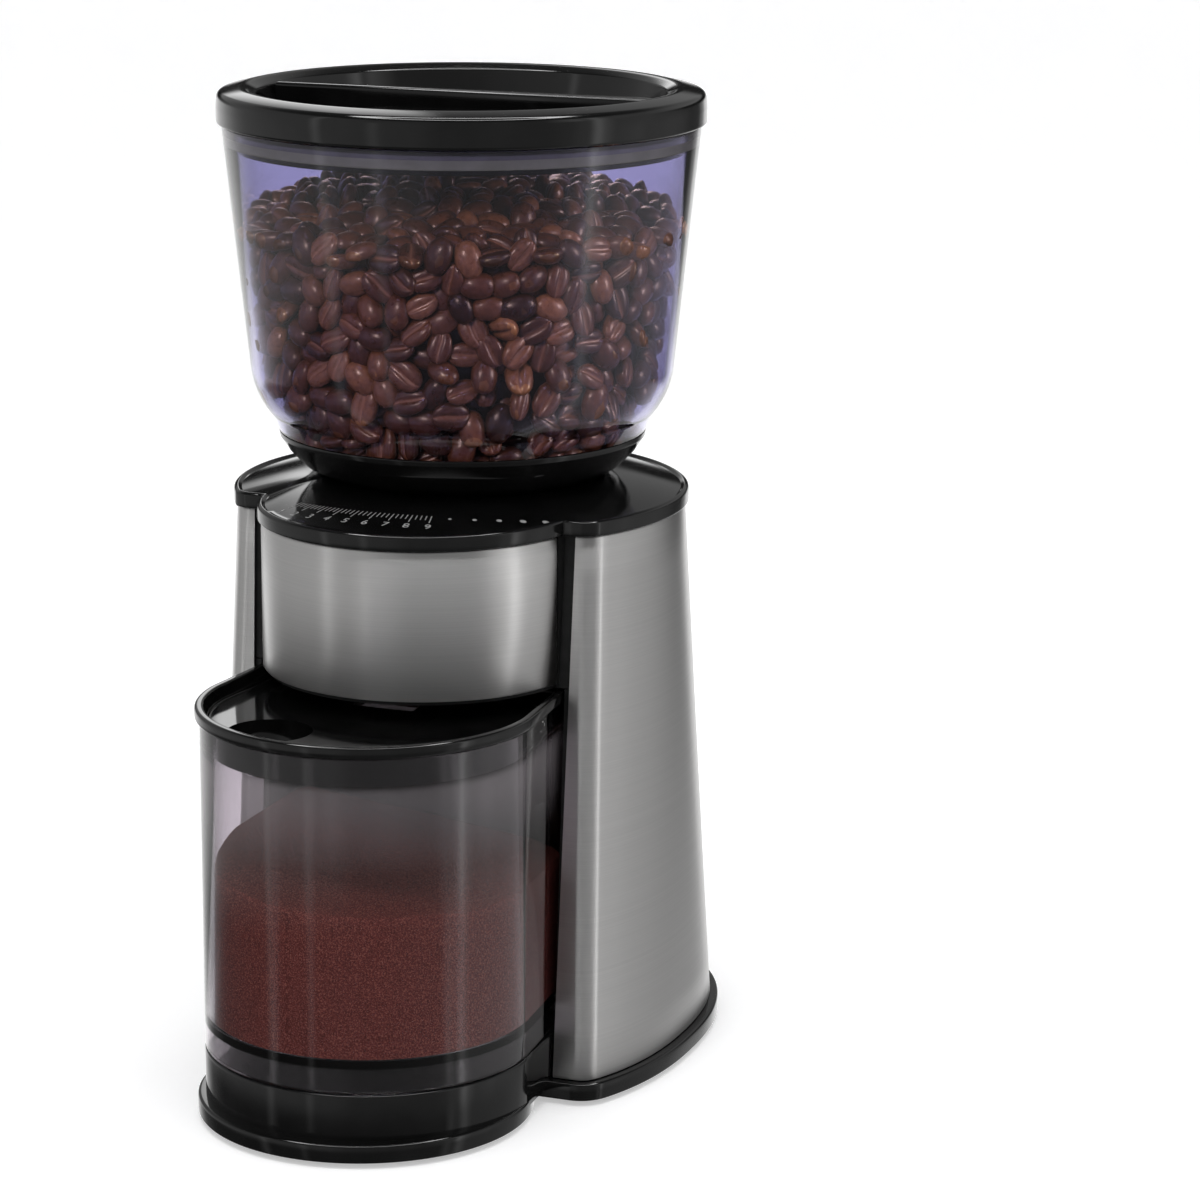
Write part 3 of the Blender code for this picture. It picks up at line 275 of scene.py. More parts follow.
def carved(piece, bm, operation):
    """Join or cut a piece with a tool mesh and keep only the result."""
    bmesh.ops.recalc_face_normals(bm, faces=bm.faces)
    tool = placed("tool", mesh_from("tool", bm))
    tool.location = (AXIS_X, AXIS_Y, 0.0)
    step = piece.modifiers.new("cut", 'BOOLEAN')
    step.operation = operation
    step.object = tool
    step.solver = 'EXACT'
    depsgraph = bpy.context.evaluated_depsgraph_get()
    made = bpy.data.meshes.new_from_object(piece.evaluated_get(depsgraph))
    piece.modifiers.clear()
    bpy.data.objects.remove(tool)
    material = piece.data.materials[0]
    piece.data = made
    made.materials.clear()
    made.materials.append(material)
    made.shade_smooth()
    made.set_sharp_from_angle(angle=SMOOTH_ANGLE)


def turned_to(bm, axis, centre):
    """Turn a shape built about +Z so that its axis points along axis, then move it to centre."""
    turn = Vector(UP).rotation_difference(Vector(axis)).to_matrix()
    bmesh.ops.rotate(bm, cent=(0, 0, 0), verts=bm.verts, matrix=turn)
    bmesh.ops.translate(bm, vec=centre, verts=bm.verts)
    return bm


# ------------------------ plan outlines

def arc(centre, radius, start, end, steps):
    """Points on an arc in plan, in degrees from +X, both ends included."""
    angles = [math.radians(start + (end - start) * i / steps) for i in range(steps + 1)]
    return [(centre[0] + radius * math.cos(a), centre[1] + radius * math.sin(a)) for a in angles]


def mirrored(points):
    """An outline's other half, from its end back to its start."""
    return [(-x, y) for x, y in reversed(points)]


def mix(low, high, t):
    """The value a share t of the way from low to high."""
    return low + (high - low) * t


def on_side(low, high):
    """Where the middle of a control's box is on the side of the body: y about the burr axis, and z."""
    return (low.y + high.y) / 2 - AXIS_Y, (low.z + high.z) / 2


def at_height(outline, z):
    """A plan outline as a level ring."""
    return [(x, y, z) for x, y in outline]


def oval_point(oval, angle):
    """A point on a squared-off oval, angle from +X in radians."""
    c, s = math.cos(angle), math.sin(angle)
    power = 2.0 / oval["power"]
    x = oval["half_width"] * math.copysign(abs(c) ** power, c)
    y = oval["centre"] + oval["half_depth"] * math.copysign(abs(s) ** power, s)
    return x, y


def oval_angle(oval, y):
    """The angle at which an oval's right side reaches y."""
    reach = (y - oval["centre"]) / oval["half_depth"]
    return math.asin(math.copysign(abs(reach) ** (oval["power"] / 2.0), reach))


def wrap_path(oval, front, inner_x, corner, steps=60):
    """In from the right wing's front fold, round the back, to the left fold."""
    start = oval_angle(oval, front + corner)
    side = [oval_point(oval, mix(start, math.pi / 2, i / steps)) for i in range(steps + 1)]
    outer_x = oval_point(oval, oval_angle(oval, front))[0]
    turns = 10
    fold = [bend((outer_x - corner, front), (outer_x, front), side[0], i / turns) for i in range(turns)]
    half = [(inner_x, front)] + fold + side
    return half + mirrored(half)[1:]


def tub_outline(inset=0.0):
    """Plan of the container: round front, slightly tapering sides, rounded back corners."""
    back = BIN_BACK - inset
    side = BIN_BACK_HALF - inset
    corner = max(7.0 * MM - inset, 1.0 * MM)
    half = arc((0.0, BIN_CENTRE), BIN_RADIUS - inset, -90, 0, 48)
    half += arc((side - corner, back - corner), corner, 0, 90, 10)
    return half[1:] + mirrored(half)[:-1] + [half[0]]


def base_outline(grow=0.0):
    """Plan of the base: an oval under the wings with the container's round tongue in front."""
    oval = {"half_width": BASE_HALF_WIDTH + grow, "half_depth": BASE_HALF_DEPTH + grow,
            "centre": BASE_REAR - BASE_HALF_DEPTH, "power": 2.3}
    front = WRAP_FRONT_LOW - 2.5 * MM - grow
    radius = LIP_RADIUS + grow
    meet = math.degrees(math.asin((front - LIP_CENTRE) / radius))
    tongue = arc((0.0, LIP_CENTRE), radius, -90, meet, 40)
    body = wrap_path(oval, front, tongue[-1][0] + 1.0 * MM, 6.0 * MM)
    half = tongue + body[:len(body) // 2 + 1]
    return half + mirrored(half)[1:-1]


def platform_outline(inset):
    """Plan of the plinth that the container stands on."""
    corner = 6.0 * MM
    half_width = 48.7 * MM
    back = -25.4 * MM
    rear = arc((half_width - corner, back - corner), corner - inset, 0, 90, 8)
    front = arc((0.0, BIN_CENTRE), PLATFORM_RADIUS - inset, -90, 0, 44)
    half = front + [(half_width - inset, WRAP_FRONT_LOW)] + rear
    return half + mirrored(half)[:-1]


def deck_outline(inset=0.0):
    """The top cover's plan: the wing circle with the head's front circle let into it."""
    radius = DECK_RADIUS - inset
    nose_radius = PANEL_RADIUS + 1.1 * MM - inset
    front = DECK_FRONT + inset
    wing_x = math.sqrt(radius ** 2 - (front - DECK_CENTRE) ** 2)
    wing_start = math.degrees(math.atan2(front + 2.5 * MM - DECK_CENTRE, wing_x))
    front_end = math.degrees(math.asin((front - PANEL_CENTRE) / nose_radius))
    nose = arc((0.0, PANEL_CENTRE), nose_radius, -90, front_end, 40)
    wing = arc((0.0, DECK_CENTRE), radius, wing_start, 90, 60)
    step = [(nose[-1][0] + 1.6 * MM, front), (wing_x - 2.6 * MM, front),
            (wing_x - 1.2 * MM, front + 0.5 * MM)]
    half = nose + step + wing
    return half + mirrored(half)[1:-1]


# ------------------------ material tools

def new_material(name, colour, roughness, metallic=0.0, **sockets):
    material = bpy.data.materials.new(name)
    material.use_nodes = True
    shader = material.node_tree.nodes["Principled BSDF"]
    shader.inputs["Base Color"].default_value = (*colour, 1.0)
    shader.inputs["Roughness"].default_value = roughness
    shader.inputs["Metallic"].default_value = metallic
    for socket, value in sockets.items():
        shader.inputs[socket.replace("_", " ")].default_value = value
    return material


def shader_of(material):
    """A material's Principled BSDF."""
    return material.node_tree.nodes["Principled BSDF"]


def add_node(owner, kind, inputs=None, **settings):
    """A new node in a material or world; each input takes a value or another node's output."""
    node = owner.node_tree.nodes.new(kind)
    for name, value in settings.items():
        setattr(node, name, value)
    for socket, value in (inputs or {}).items():
        if isinstance(value, bpy.types.NodeSocket):
            owner.node_tree.links.new(value, node.inputs[socket])
        else:
            node.inputs[socket].default_value = value
    return node


def join(owner, source, target):
    owner.node_tree.links.new(source, target)


def multiplied(owner, first, second):
    return add_node(owner, "ShaderNodeMath", {0: first, 1: second}, operation='MULTIPLY').outputs[0]


def mixed_colour(owner, share, first, second, blend='MIX'):
    inputs = {"Factor": share, 6: first, 7: second}
    return add_node(owner, "ShaderNodeMix", inputs, data_type='RGBA', blend_type=blend).outputs[2]


def mixed_shader(owner, share, first, second):
    return add_node(owner, "ShaderNodeMixShader", {"Fac": share, 1: first, 2: second}).outputs["Shader"]


def show(material, surface):
    """Make a shader the material's surface."""
    join(material, surface, material.node_tree.nodes["Material Output"].inputs["Surface"])


def pattern(material, scale, stretch=(1.0, 1.0, 1.0), detail=3.0, kind="ShaderNodeTexNoise"):
    """A noise or cell pattern in the piece's own coordinates, scale in repeats per metre."""
    place = add_node(material, "ShaderNodeTexCoord").outputs["Object"]
    mapping = add_node(material, "ShaderNodeMapping", {"Vector": place, "Scale": stretch})
    inputs = {"Vector": mapping.outputs["Vector"], "Scale": scale}
    if kind == "ShaderNodeTexNoise":
        inputs["Detail"] = detail
    return add_node(material, kind, inputs).outputs[0]


def spread(owner, source, low, high, start=0.3, stop=0.7):
    """Map start to stop, by default the middle of a pattern's range, onto low to high."""
    inputs = {"Value": source, "From Min": start, "From Max": stop, "To Min": low, "To Max": high}
    return add_node(owner, "ShaderNodeMapRange", inputs).outputs["Result"]


def ramp(owner, source, stops):
    """Colours at places along a pattern's range."""
    node = add_node(owner, "ShaderNodeValToRGB", {"Fac": source})
    elements = node.color_ramp.elements
    while len(elements) < len(stops):
        elements.new(0.5)
    for element, (place, colour) in zip(elements, stops):
        element.position = place
        element.color = (*colour, 1.0)
    return node.outputs["Color"]


def bump(material, source, distance, strength=1.0):
    inputs = {"Strength": strength, "Distance": distance, "Height": source}
    node = add_node(material, "ShaderNodeBump", inputs)
    join(material, node.outputs["Normal"], shader_of(material).inputs["Normal"])


def rough_by(material, source, low, high):
    join(material, spread(material, source, low, high), shader_of(material).inputs["Roughness"])


def colour_by(material, source, stops):
    join(material, ramp(material, source, stops), shader_of(material).inputs["Base Color"])


def light_path_test(owner, output):
    """1 where the ray's path already holds a bounce of the kind that output counts."""
    count = add_node(owner, "ShaderNodeLightPath").outputs[output]
    return add_node(owner, "ShaderNodeMath", {0: count, 1: 0.5}, operation='GREATER_THAN').outputs[0]


# ------------------------ materials

def gloss_black():
    """Polished black moulding with a faint waviness and a little surface haze."""
    m = new_material("gloss_black", (0.004, 0.004, 0.004), 0.1, Specular_IOR_Level=0.38)
    colour_by(m, pattern(m, 90.0), [(0.35, (0.003, 0.003, 0.003)), (0.7, (0.005, 0.005, 0.005))])
    rough_by(m, pattern(m, 35.0, detail=5.0), 0.05, 0.13)
    bump(m, pattern(m, 260.0, detail=2.0), 0.00002, 0.25)
    return m


def satin_black():
    """Fine spark-eroded texture of an unpolished black moulding."""
    m = new_material("satin_black", (0.008, 0.008, 0.008), 0.45, Specular_IOR_Level=0.25)
    colour_by(m, pattern(m, 300.0), [(0.3, (0.006, 0.006, 0.006)), (0.75, (0.012, 0.012, 0.012))])
    rough_by(m, pattern(m, 60.0), 0.36, 0.52)
    bump(m, pattern(m, 1800.0, detail=2.0), 0.00004, 0.5)
    return m


def clear_plastic(name, tint, veil, shine, film=0.0):
    """Tinted clear moulding that lets lamps through to what it holds.

    A streaky film of coffee dust fades in over the upper walls and ends at the lid's plug.
    """
    m = new_material(name, tint, 0.03, IOR=1.49, Transmission_Weight=1.0, Specular_IOR_Level=shine)
    deeper = tuple(0.94 * c for c in tint)
    colour_by(m, pattern(m, 18.0), [(0.35, deeper), (0.65, tint)])
    rough_by(m, pattern(m, 25.0), 0.01, 0.04)
    place = add_node(m, "ShaderNodeTexCoord").outputs["Object"]
    height = add_node(m, "ShaderNodeSeparateXYZ", {"Vector": place}).outputs["Z"]
    risen = spread(m, height, 0.0, film, DUST_LOW, DUST_HIGH)
    streaks = spread(m, pattern(m, 70.0, stretch=(1.0, 1.0, 0.03)), 0.7, 1.3)
    below_plug = spread(m, height, 1.0, 0.0, DUST_TOP, DUST_TOP + 2.0 * MM)
    dust = add_node(m, "ShaderNodeBsdfDiffuse", {"Color": (0.74, 0.68, 0.71, 1.0)}).outputs["BSDF"]
    amount = multiplied(m, multiplied(m, risen, streaks), below_plug)
    dusty = mixed_shader(m, amount, shader_of(m).outputs["BSDF"], dust)
    through = add_node(m, "ShaderNodeBsdfTransparent", {"Color": (*veil, 1.0)}).outputs["BSDF"]
    shadow_ray = add_node(m, "ShaderNodeLightPath").outputs["Is Shadow Ray"]
    show(m, mixed_shader(m, shadow_ray, dusty, through))
    return m


def brushed_steel():
    """Stainless sheet brushed level, so that lamps smear into upright bands."""
    m = new_material("brushed_steel", (0.60, 0.59, 0.58), 0.3, 1.0, Anisotropic=0.9,
                     Anisotropic_Rotation=0.25)
    lines = pattern(m, 6.0, stretch=(1.0, 1.0, 650.0), detail=4.0)
    fine = pattern(m, 40.0, stretch=(1.0, 1.0, 160.0), detail=3.0)
    colour_by(m, lines, [(0.3, (0.56, 0.555, 0.55)), (0.7, (0.605, 0.598, 0.592))])
    rough_by(m, fine, 0.31, 0.37)
    bump(m, lines, 0.00001, 0.07)
    tangent = add_node(m, "ShaderNodeTangent", direction_type='RADIAL', axis='Z')
    join(m, tangent.outputs["Tangent"], shader_of(m).inputs["Tangent"])
    return m


def machined_steel(name, colour, roughness):
    """Turned or pressed metal with a mottled sheen."""
    m = new_material(name, colour, roughness, 1.0)
    dark = tuple(0.75 * c for c in colour)
    colour_by(m, pattern(m, 150.0, detail=5.0), [(0.3, dark), (0.75, colour)])
    rough_by(m, pattern(m, 220.0), roughness * 0.75, roughness * 1.3)
    bump(m, pattern(m, 900.0), 0.00002, 0.3)
    return m


def soft_rubber(name, colour):
    """Dull rubber with a dusty bloom."""
    m = new_material(name, colour, 0.8)
    light = tuple(1.6 * c for c in colour)
    colour_by(m, pattern(m, 400.0, detail=6.0), [(0.3, colour), (0.8, light)])
    rough_by(m, pattern(m, 90.0), 0.65, 0.9)
    bump(m, pattern(m, 2500.0), 0.00005, 0.4)
    return m


def seal_with_painted_sheen():
    """Grey sealing sleeve, moulded shiny; the seal is a real part, but its pale grey is painted reflection,
    standing in for the reflections that make the dark band under the lid look grey through the bowl's wall.
    """
    m = new_material("seal_silicone_painted_sheen", (0.32, 0.31, 0.24), 0.2, Specular_IOR_Level=0.6)
    colour_by(m, pattern(m, 120.0), [(0.3, (0.28, 0.27, 0.20)), (0.75, (0.36, 0.35, 0.27))])
    rough_by(m, pattern(m, 80.0), 0.12, 0.24)
    bump(m, pattern(m, 200.0), 0.00002, 0.3)
    return m


def natural_nylon():
    """Uncoloured nylon that lets a little light in."""
    m = new_material("natural_nylon", (0.70, 0.68, 0.62), 0.5, Subsurface_Weight=0.15,
                     Subsurface_Scale=0.002)
    colour_by(m, pattern(m, 120.0), [(0.3, (0.64, 0.62, 0.55)), (0.75, (0.76, 0.74, 0.69))])
    rough_by(m, pattern(m, 300.0), 0.42, 0.6)
    bump(m, pattern(m, 1500.0), 0.00003, 0.3)
    return m


def circuit_green():
    """Solder mask with a pattern of tracks under it."""
    m = new_material("circuit_green", (0.02, 0.14, 0.06), 0.35)
    tracks = pattern(m, 260.0, kind="ShaderNodeTexVoronoi")
    colour_by(m, tracks, [(0.25, (0.015, 0.10, 0.045)), (0.32, (0.05, 0.22, 0.10))])
    rough_by(m, tracks, 0.28, 0.45)
    bump(m, tracks, 0.00003, 0.4)
    return m


def roasted_bean():
    """Dark oily roast; each bean has its own depth of colour and a paler crease."""
    m = new_material("roasted_bean", (0.09, 0.04, 0.03), 0.3, Coat_Weight=0.6, Coat_Roughness=0.14)
    tone = add_node(m, "ShaderNodeAttribute", attribute_name="tone").outputs["Fac"]
    crease = add_node(m, "ShaderNodeAttribute", attribute_name="crease").outputs["Fac"]
    roast = ramp(m, tone, [(0.0, (0.035, 0.012, 0.006)), (0.5, (0.13, 0.050, 0.024)),
                           (1.0, (0.33, 0.160, 0.075))])
    mottle = ramp(m, pattern(m, 700.0, detail=5.0), [(0.3, (0.55, 0.5, 0.5)), (0.75, (1.0, 1.0, 1.0))])
    stained = mixed_colour(m, 1.0, roast, mottle, 'MULTIPLY')
    chaff = (0.30, 0.15, 0.085, 1.0)
    join(m, mixed_colour(m, crease, stained, chaff), shader_of(m).inputs["Base Color"])
    rough_by(m, pattern(m, 350.0), 0.24, 0.46)
    bump(m, pattern(m, 900.0, detail=4.0), 0.00012, 0.5)
    return m


def ground_coffee():
    """Coarse red-brown grounds with dark and pale specks."""
    m = new_material("ground_coffee", (0.12, 0.05, 0.035), 0.9, Specular_IOR_Level=0.1)
    grains = pattern(m, 2400.0, detail=3.0)
    colour_by(m, grains, [(0.28, (0.05, 0.010, 0.008)), (0.5, (0.15, 0.036, 0.027)),
                          (0.72, (0.36, 0.125, 0.090))])
    rough_by(m, grains, 0.75, 0.95)
    bump(m, grains, 0.0003, 0.7)
    return m


def printed_mark():
    """Grey print, unevenly inked."""
    m = new_material("printed_mark", (0.55, 0.55, 0.55), 0.5)
    colour_by(m, pattern(m, 1500.0), [(0.2, (0.24, 0.24, 0.24)), (0.7, (0.42, 0.42, 0.41))])
    return m


GLOSS_BLACK = gloss_black()
SATIN_BLACK = satin_black()
HOPPER_CLEAR = clear_plastic("hopper_clear", (0.53, 0.51, 0.74), (0.94, 0.93, 0.96), 0.25)
BIN_CLEAR = clear_plastic("container_clear", (0.80, 0.75, 0.80), (0.94, 0.93, 0.95), 0.3, 0.07)
STEEL = brushed_steel()
BURR_STEEL = machined_steel("burr_steel", (0.42, 0.42, 0.43), 0.36)
ZINC = machined_steel("zinc_plate", (0.62, 0.63, 0.65), 0.34)
BRONZE = machined_steel("sintered_bronze", (0.58, 0.40, 0.20), 0.42)
RUBBER = soft_rubber("black_rubber", (0.022, 0.022, 0.022))
SEAL_PAINTED_SHEEN = seal_with_painted_sheen()
NYLON = natural_nylon()
BOARD = circuit_green()
BEAN = roasted_bean()
GROUNDS = ground_coffee()
MARK = printed_mark()


# ------------------------ hopper

def hopper_lid():
    """Lid with a crowned rim, an outer band, a dish and a plug that drops into the bowl."""
    flange = BOWL_TOP + 0.3 * MM
    floor_z = 284.0 * MM
    plate = 281.0 * MM
    plug = 68.3 * MM
    plug_inside = plug - 2.5 * MM
    plug_low = 277.6 * MM
    groove = plug - 1.4 * MM
    groove_low = 278.8 * MM
    groove_high = 284.0 * MM
    outline = filleted([
        (0, floor_z), (58.6 * MM, floor_z, 3.0 * MM), (61.2 * MM, LID_TOP - 1.9 * MM, 0.9 * MM),
        (65.2 * MM, LID_TOP, 5.0 * MM), (LID_RADIUS - 0.3 * MM, LID_TOP - 1.7 * MM, 2.3 * MM),
        (LID_RADIUS, LID_TOP - 6.0 * MM, 1.0 * MM), (LID_RADIUS, flange, 0.9 * MM),
        (plug, flange, 0.3 * MM), (plug, groove_high), (groove, groove_high), (groove, groove_low),
        (plug, groove_low), (plug, plug_low, 0.6 * MM), (plug_inside, plug_low, 0.6 * MM),
        (plug_inside, plate, 0.6 * MM), (0, plate)])
    lid = finish_mesh("hopper_lid_shell", spun(outline), GLOSS_BLACK, "hopper_cover")
    bar_top = LID_TOP - 1.6 * MM
    bar_low = floor_z - 1.5 * MM
    bar_size = (121.2 * MM, 5.2 * MM, bar_top - bar_low)
    carved(lid, block(bar_size, (0, 0, (bar_top + bar_low) / 2), 1.1 * MM), 'UNION')
    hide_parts("hopper_lid")
    # The seal's pale grey is painted reflection: it stands in for the reflections that make the band under
    # the rim look grey through the bowl.
    seal_inside = groove + 0.3 * MM
    seal_outside = plug + 0.9 * MM
    seal = filleted([
        (seal_inside, groove_low + 0.2 * MM), (seal_outside, groove_low + 0.5 * MM, 0.5 * MM),
        (seal_outside, groove_high - 0.5 * MM, 0.5 * MM), (seal_inside, groove_high - 0.2 * MM)])
    ring = finish_mesh("hopper_lid_seal", spun(seal), SEAL_PAINTED_SHEEN, "hopper_cover")
    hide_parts("lid_seal")


def bowl_face(inset):
    """Outer or inner face of the bowl from its top edge to the collar."""
    knee = [(BOWL_KNUCKLE_RADIUS - inset, BOWL_KNUCKLE),
            (BOWL_KNUCKLE_RADIUS - 1.0 * MM - inset, BOWL_KNUCKLE - 8.5 * MM + 0.4 * inset),
            (COLLAR_RADIUS + 2.0 * MM - inset, BOWL_BOTTOM + 4.6 * MM + 0.5 * inset)]
    turns = 18
    curve = [bend(*knee, i / turns) for i in range(turns + 1)]
    return [(BOWL_TOP_RADIUS - inset, BOWL_TOP)] + curve + [(COLLAR_RADIUS - inset, BOWL_BOTTOM)]


def hopper_bowl():
    """Clear bowl, open at the top and bottom."""
    outside, inside = bowl_face(0.0), bowl_face(BOWL_WALL)
    edge = 0.5 * MM
    outline = [(*outside[0], edge)] + outside[1:] + list(reversed(inside[1:])) + [(*inside[0], edge)]
    bowl = finish_mesh("hopper_bowl_shell", spun(filleted(outline)), HOPPER_CLEAR, "hopper")
    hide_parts("hopper_bowl")


def hopper_collar():
    """Funnel that holds the bowl, with the neck that drops into the adjusting ring."""
    rim = BOWL_BOTTOM - 0.3 * MM
    neck = 30.1 * MM
    neck_low = COLLAR_LOW.z
    under = 180.3 * MM
    outline = filleted([
        (COLLAR_RADIUS, rim, 0.3 * MM), (COLLAR_RADIUS - 0.2 * MM, rim - 1.6 * MM, 0.4 * MM),
        (52.7 * MM, 187.0 * MM, 9.0 * MM), (48.2 * MM, 182.4 * MM, 6.0 * MM),
        (44.0 * MM, under, 0.5 * MM), (neck, under, 0.5 * MM), (neck, neck_low, 0.5 * MM),
        (FUNNEL_NECK[0], neck_low, 0.5 * MM), (*FUNNEL_NECK, 2.0 * MM), (*FUNNEL_MOUTH, 2.0 * MM),
        (COLLAR_RADIUS - BOWL_WALL, rim, 0.3 * MM)])
    collar = finish_mesh("hopper_collar_shell", spun(outline), GLOSS_BLACK, "hopper")
    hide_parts("hopper_collar")


# ------------------------ body

def deck_cover():
    """Domed cover with a raised rim round the wings and a soft step down to the collar."""
    low, edge_top = DECK_LOW.z, 175.6 * MM
    rim_width, rim_drop = 2.4 * MM, 0.5 * MM
    wall = 2.4 * MM
    rise = DECK_HIGH.z - edge_top + rim_drop
    hole = [(DECK_HOLE * x / math.hypot(x, y), DECK_HOLE * y / math.hypot(x, y)) for x, y in deck_outline()]
    start = deck_outline(rim_width)

    def dome(t, drop=0.0):
        z = edge_top - rim_drop + rise * math.sin(t * math.pi / 2) - drop
        return [(mix(a[0], b[0], t), mix(a[1], b[1], t), z) for a, b in zip(start, hole)]

    side = filleted([(2.6 * MM, low), (0.0, low, 0.5 * MM), (0.0, edge_top - 0.4 * MM, 1.3 * MM),
                     (1.3 * MM, edge_top + 0.1 * MM, 0.6 * MM), (2.3 * MM, edge_top - 0.45 * MM)],
                    closed=False)
    rings = [at_height(deck_outline(inset), z) for inset, z in side]
    rings += [dome(i / 24) for i in range(25)]
    rings += [dome(t, wall) for t in (1.0, 0.8, 0.6, 0.4, 0.2, 0.03)]
    deck = finish_mesh("deck_cover_shell", loft(rings, closed=True), GLOSS_BLACK, "body")
    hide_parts("deck_cover")
    return deck


def front_panel():
    """Curved steel front of the head, with a hair-fine rolled edge."""
    edge = 14.0
    outside = arc((0.0, PANEL_CENTRE), PANEL_RADIUS, -edge, -180 + edge, 120)
    inside = arc((0.0, PANEL_CENTRE), PANEL_RADIUS - SHEET, -180 + edge, -edge, 120)
    low, high = PANEL_LOW.z, PANEL_HIGH.z
    rings = []
    for z in (low, low + ROLLED_HEIGHT, high - ROLLED_HEIGHT, high):
        tuck = ROLLED_TUCK if z in (low, high) else 0.0
        shrink = (PANEL_RADIUS - tuck) / PANEL_RADIUS
        moved = [(x * shrink, PANEL_CENTRE + (y - PANEL_CENTRE) * shrink) for x, y in outside]
        rings.append(at_height(moved + inside, z))
    panel = finish_mesh("front_panel_sheet", loft(rings), STEEL, "body")
    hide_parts("front_panel")


def shrunk(oval, amount):
    """An oval's size taken in by amount all round."""
    small = dict(oval)
    small["half_width"] -= amount
    small["half_depth"] -= amount
    return small


def wrap_shell():
    """One brushed sheet round the back and both wings, folded in at the front."""
    corner = 4.0 * MM

    def ring(t, tuck):
        oval = {key: mix(WRAP_LOW[key], WRAP_HIGH[key], t) for key in WRAP_LOW}
        front = mix(WRAP_FRONT_LOW, WRAP_FRONT_HIGH, t)
        inner_x = mix(FOLD_LOW, FOLD_HIGH, t)
        outside = wrap_path(shrunk(oval, tuck), front + tuck, inner_x, corner)
        inside = wrap_path(shrunk(oval, SHEET), front + SHEET, inner_x, corner)
        return at_height(outside + list(reversed(inside)), mix(WRAP_BOTTOM, WRAP_TOP, t))

    rolled = ROLLED_HEIGHT / (WRAP_TOP - WRAP_BOTTOM)
    levels = [(0.0, ROLLED_TUCK), (rolled, 0.0)] + [(i / 12, 0.0) for i in range(1, 12)]
    levels += [(1.0 - rolled, 0.0), (1.0, ROLLED_TUCK)]
    sheet = loft([ring(t, tuck) for t, tuck in levels])
    wrap = finish_mesh("wrap_sheet", sheet, STEEL, "body")
    wing_x, rear_y, reach = -70.0 * MM, 86.0 * MM, 6.0 * MM
    holes = ((3.8 * MM, LEFT, (wing_x, *on_side(DIAL_LOW, DIAL_HIGH))),
             (6.5 * MM, LEFT, (wing_x, *on_side(BUTTON_LOW, BUTTON_HIGH))),
             (5.6 * MM, REAR, (0, rear_y, (GLAND_LOW.z + GLAND_HIGH.z) / 2)))
    for radius, axis, centre in holes:
        hole = spun([(0, -reach), (radius, -reach), (radius, reach), (0, reach)], 48)
        carved(wrap, turned_to(hole, axis, centre), 'DIFFERENCE')
    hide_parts("wrap_shell")


def base_tray():
    """Glossy base: a thin lip all round and the plinth that the container stands on."""
    low, plinth_top = BASE_LOW.z, BASE_HIGH.z
    skirt = 3.0 * MM
    roof = 4.0 * MM
    lip = filleted([(-4.0 * MM, low), (0.0, low, 0.6 * MM), (0.0, LIP_TOP, 1.0 * MM), (-6.0 * MM, LIP_TOP)],
                   closed=False)
    shell = loft([at_height(base_outline(grow), z) for grow, z in lip])
    tray = finish_mesh("base_tray_shell", shell, GLOSS_BLACK, "body")
    plinth = filleted([(0.0, LIP_TOP - 2.0 * MM), (0.0, plinth_top, 0.9 * MM), (4.0 * MM, plinth_top)],
                      closed=False)
    carved(tray, loft([at_height(platform_outline(inset), z) for inset, z in plinth]), 'UNION')
    carved(tray, loft([at_height(base_outline(-skirt), z) for z in (-skirt, roof)]), 'DIFFERENCE')
    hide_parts("base_tray")


# ------------------------ container

def container_bin():
    """Clear tub with its floor raised above a skirt."""
    shelf = BIN_FLOOR - 2.0 * MM
    levels = filleted([
        (BIN_WALL, shelf), (BIN_WALL, BIN_SKIRT, 0.6 * MM), (0.0, BIN_SKIRT, 0.8 * MM),
        (0.0, BIN_TOP, 0.6 * MM), (BIN_WALL, BIN_TOP, 0.6 * MM), (BIN_WALL, BIN_FLOOR, 1.6 * MM),
        (BIN_WALL + 4.0 * MM, BIN_FLOOR)], closed=False)
    shell = loft([at_height(tub_outline(inset), z) for inset, z in levels])
    tub = finish_mesh("container_tub", shell, BIN_CLEAR, "container")
    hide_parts("container_bin")


def container_lid():
    """Dished lid with a finger scoop at the front left and an inlet under the chute."""
    plug_out, plug_in = BIN_WALL + 0.4 * MM, BIN_WALL + 2.2 * MM
    plug_low = 111.5 * MM
    under = DISH_FLOOR - 2.0 * MM
    rim = BIN_TOP + 0.3 * MM
    brim = -1.4 * MM
    levels = filleted([
        (plug_in + 3.0 * MM, under), (plug_in, under, 0.8 * MM), (plug_in, plug_low, 0.5 * MM),
        (plug_out, plug_low, 0.5 * MM), (plug_out, rim, 0.3 * MM), (brim, rim, 0.8 * MM),
        (brim, BIN_LID_TOP, 1.1 * MM), (1.2 * MM, BIN_LID_TOP, 0.8 * MM), (2.6 * MM, DISH_FLOOR, 1.4 * MM),
        (7.0 * MM, DISH_FLOOR)], closed=False)
    shell = loft([at_height(tub_outline(inset), z) for inset, z in levels])
    lid = finish_mesh("container_lid_shell", shell, GLOSS_BLACK, "container")
    turns = 18
    quarter = [math.radians(-90 + 90 * i / turns) for i in range(turns + 1)]

    def ball(radius, roof):
        outline = [(radius * math.cos(a), radius * math.sin(a)) for a in quarter]
        outline += [(radius, roof), (0.0, roof)] if roof else [(0.0, 0.0)]
        return turned_to(spun(outline, 72), UP, (SCOOP_X, SCOOP_Y, DISH_FLOOR - 1.0 * MM))

    carved(lid, ball(SCOOP_RADIUS, 0.0), 'UNION')
    carved(lid, ball(SCOOP_RADIUS - 1.6 * MM, 8.0 * MM), 'DIFFERENCE')
    inlet = (19.4 * MM, 15.4 * MM, 20.0 * MM)
    carved(lid, block(inlet, (0.0, INLET_Y, DISH_FLOOR)), 'DIFFERENCE')
    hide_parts("container_lid")


# ------------------------ coffee

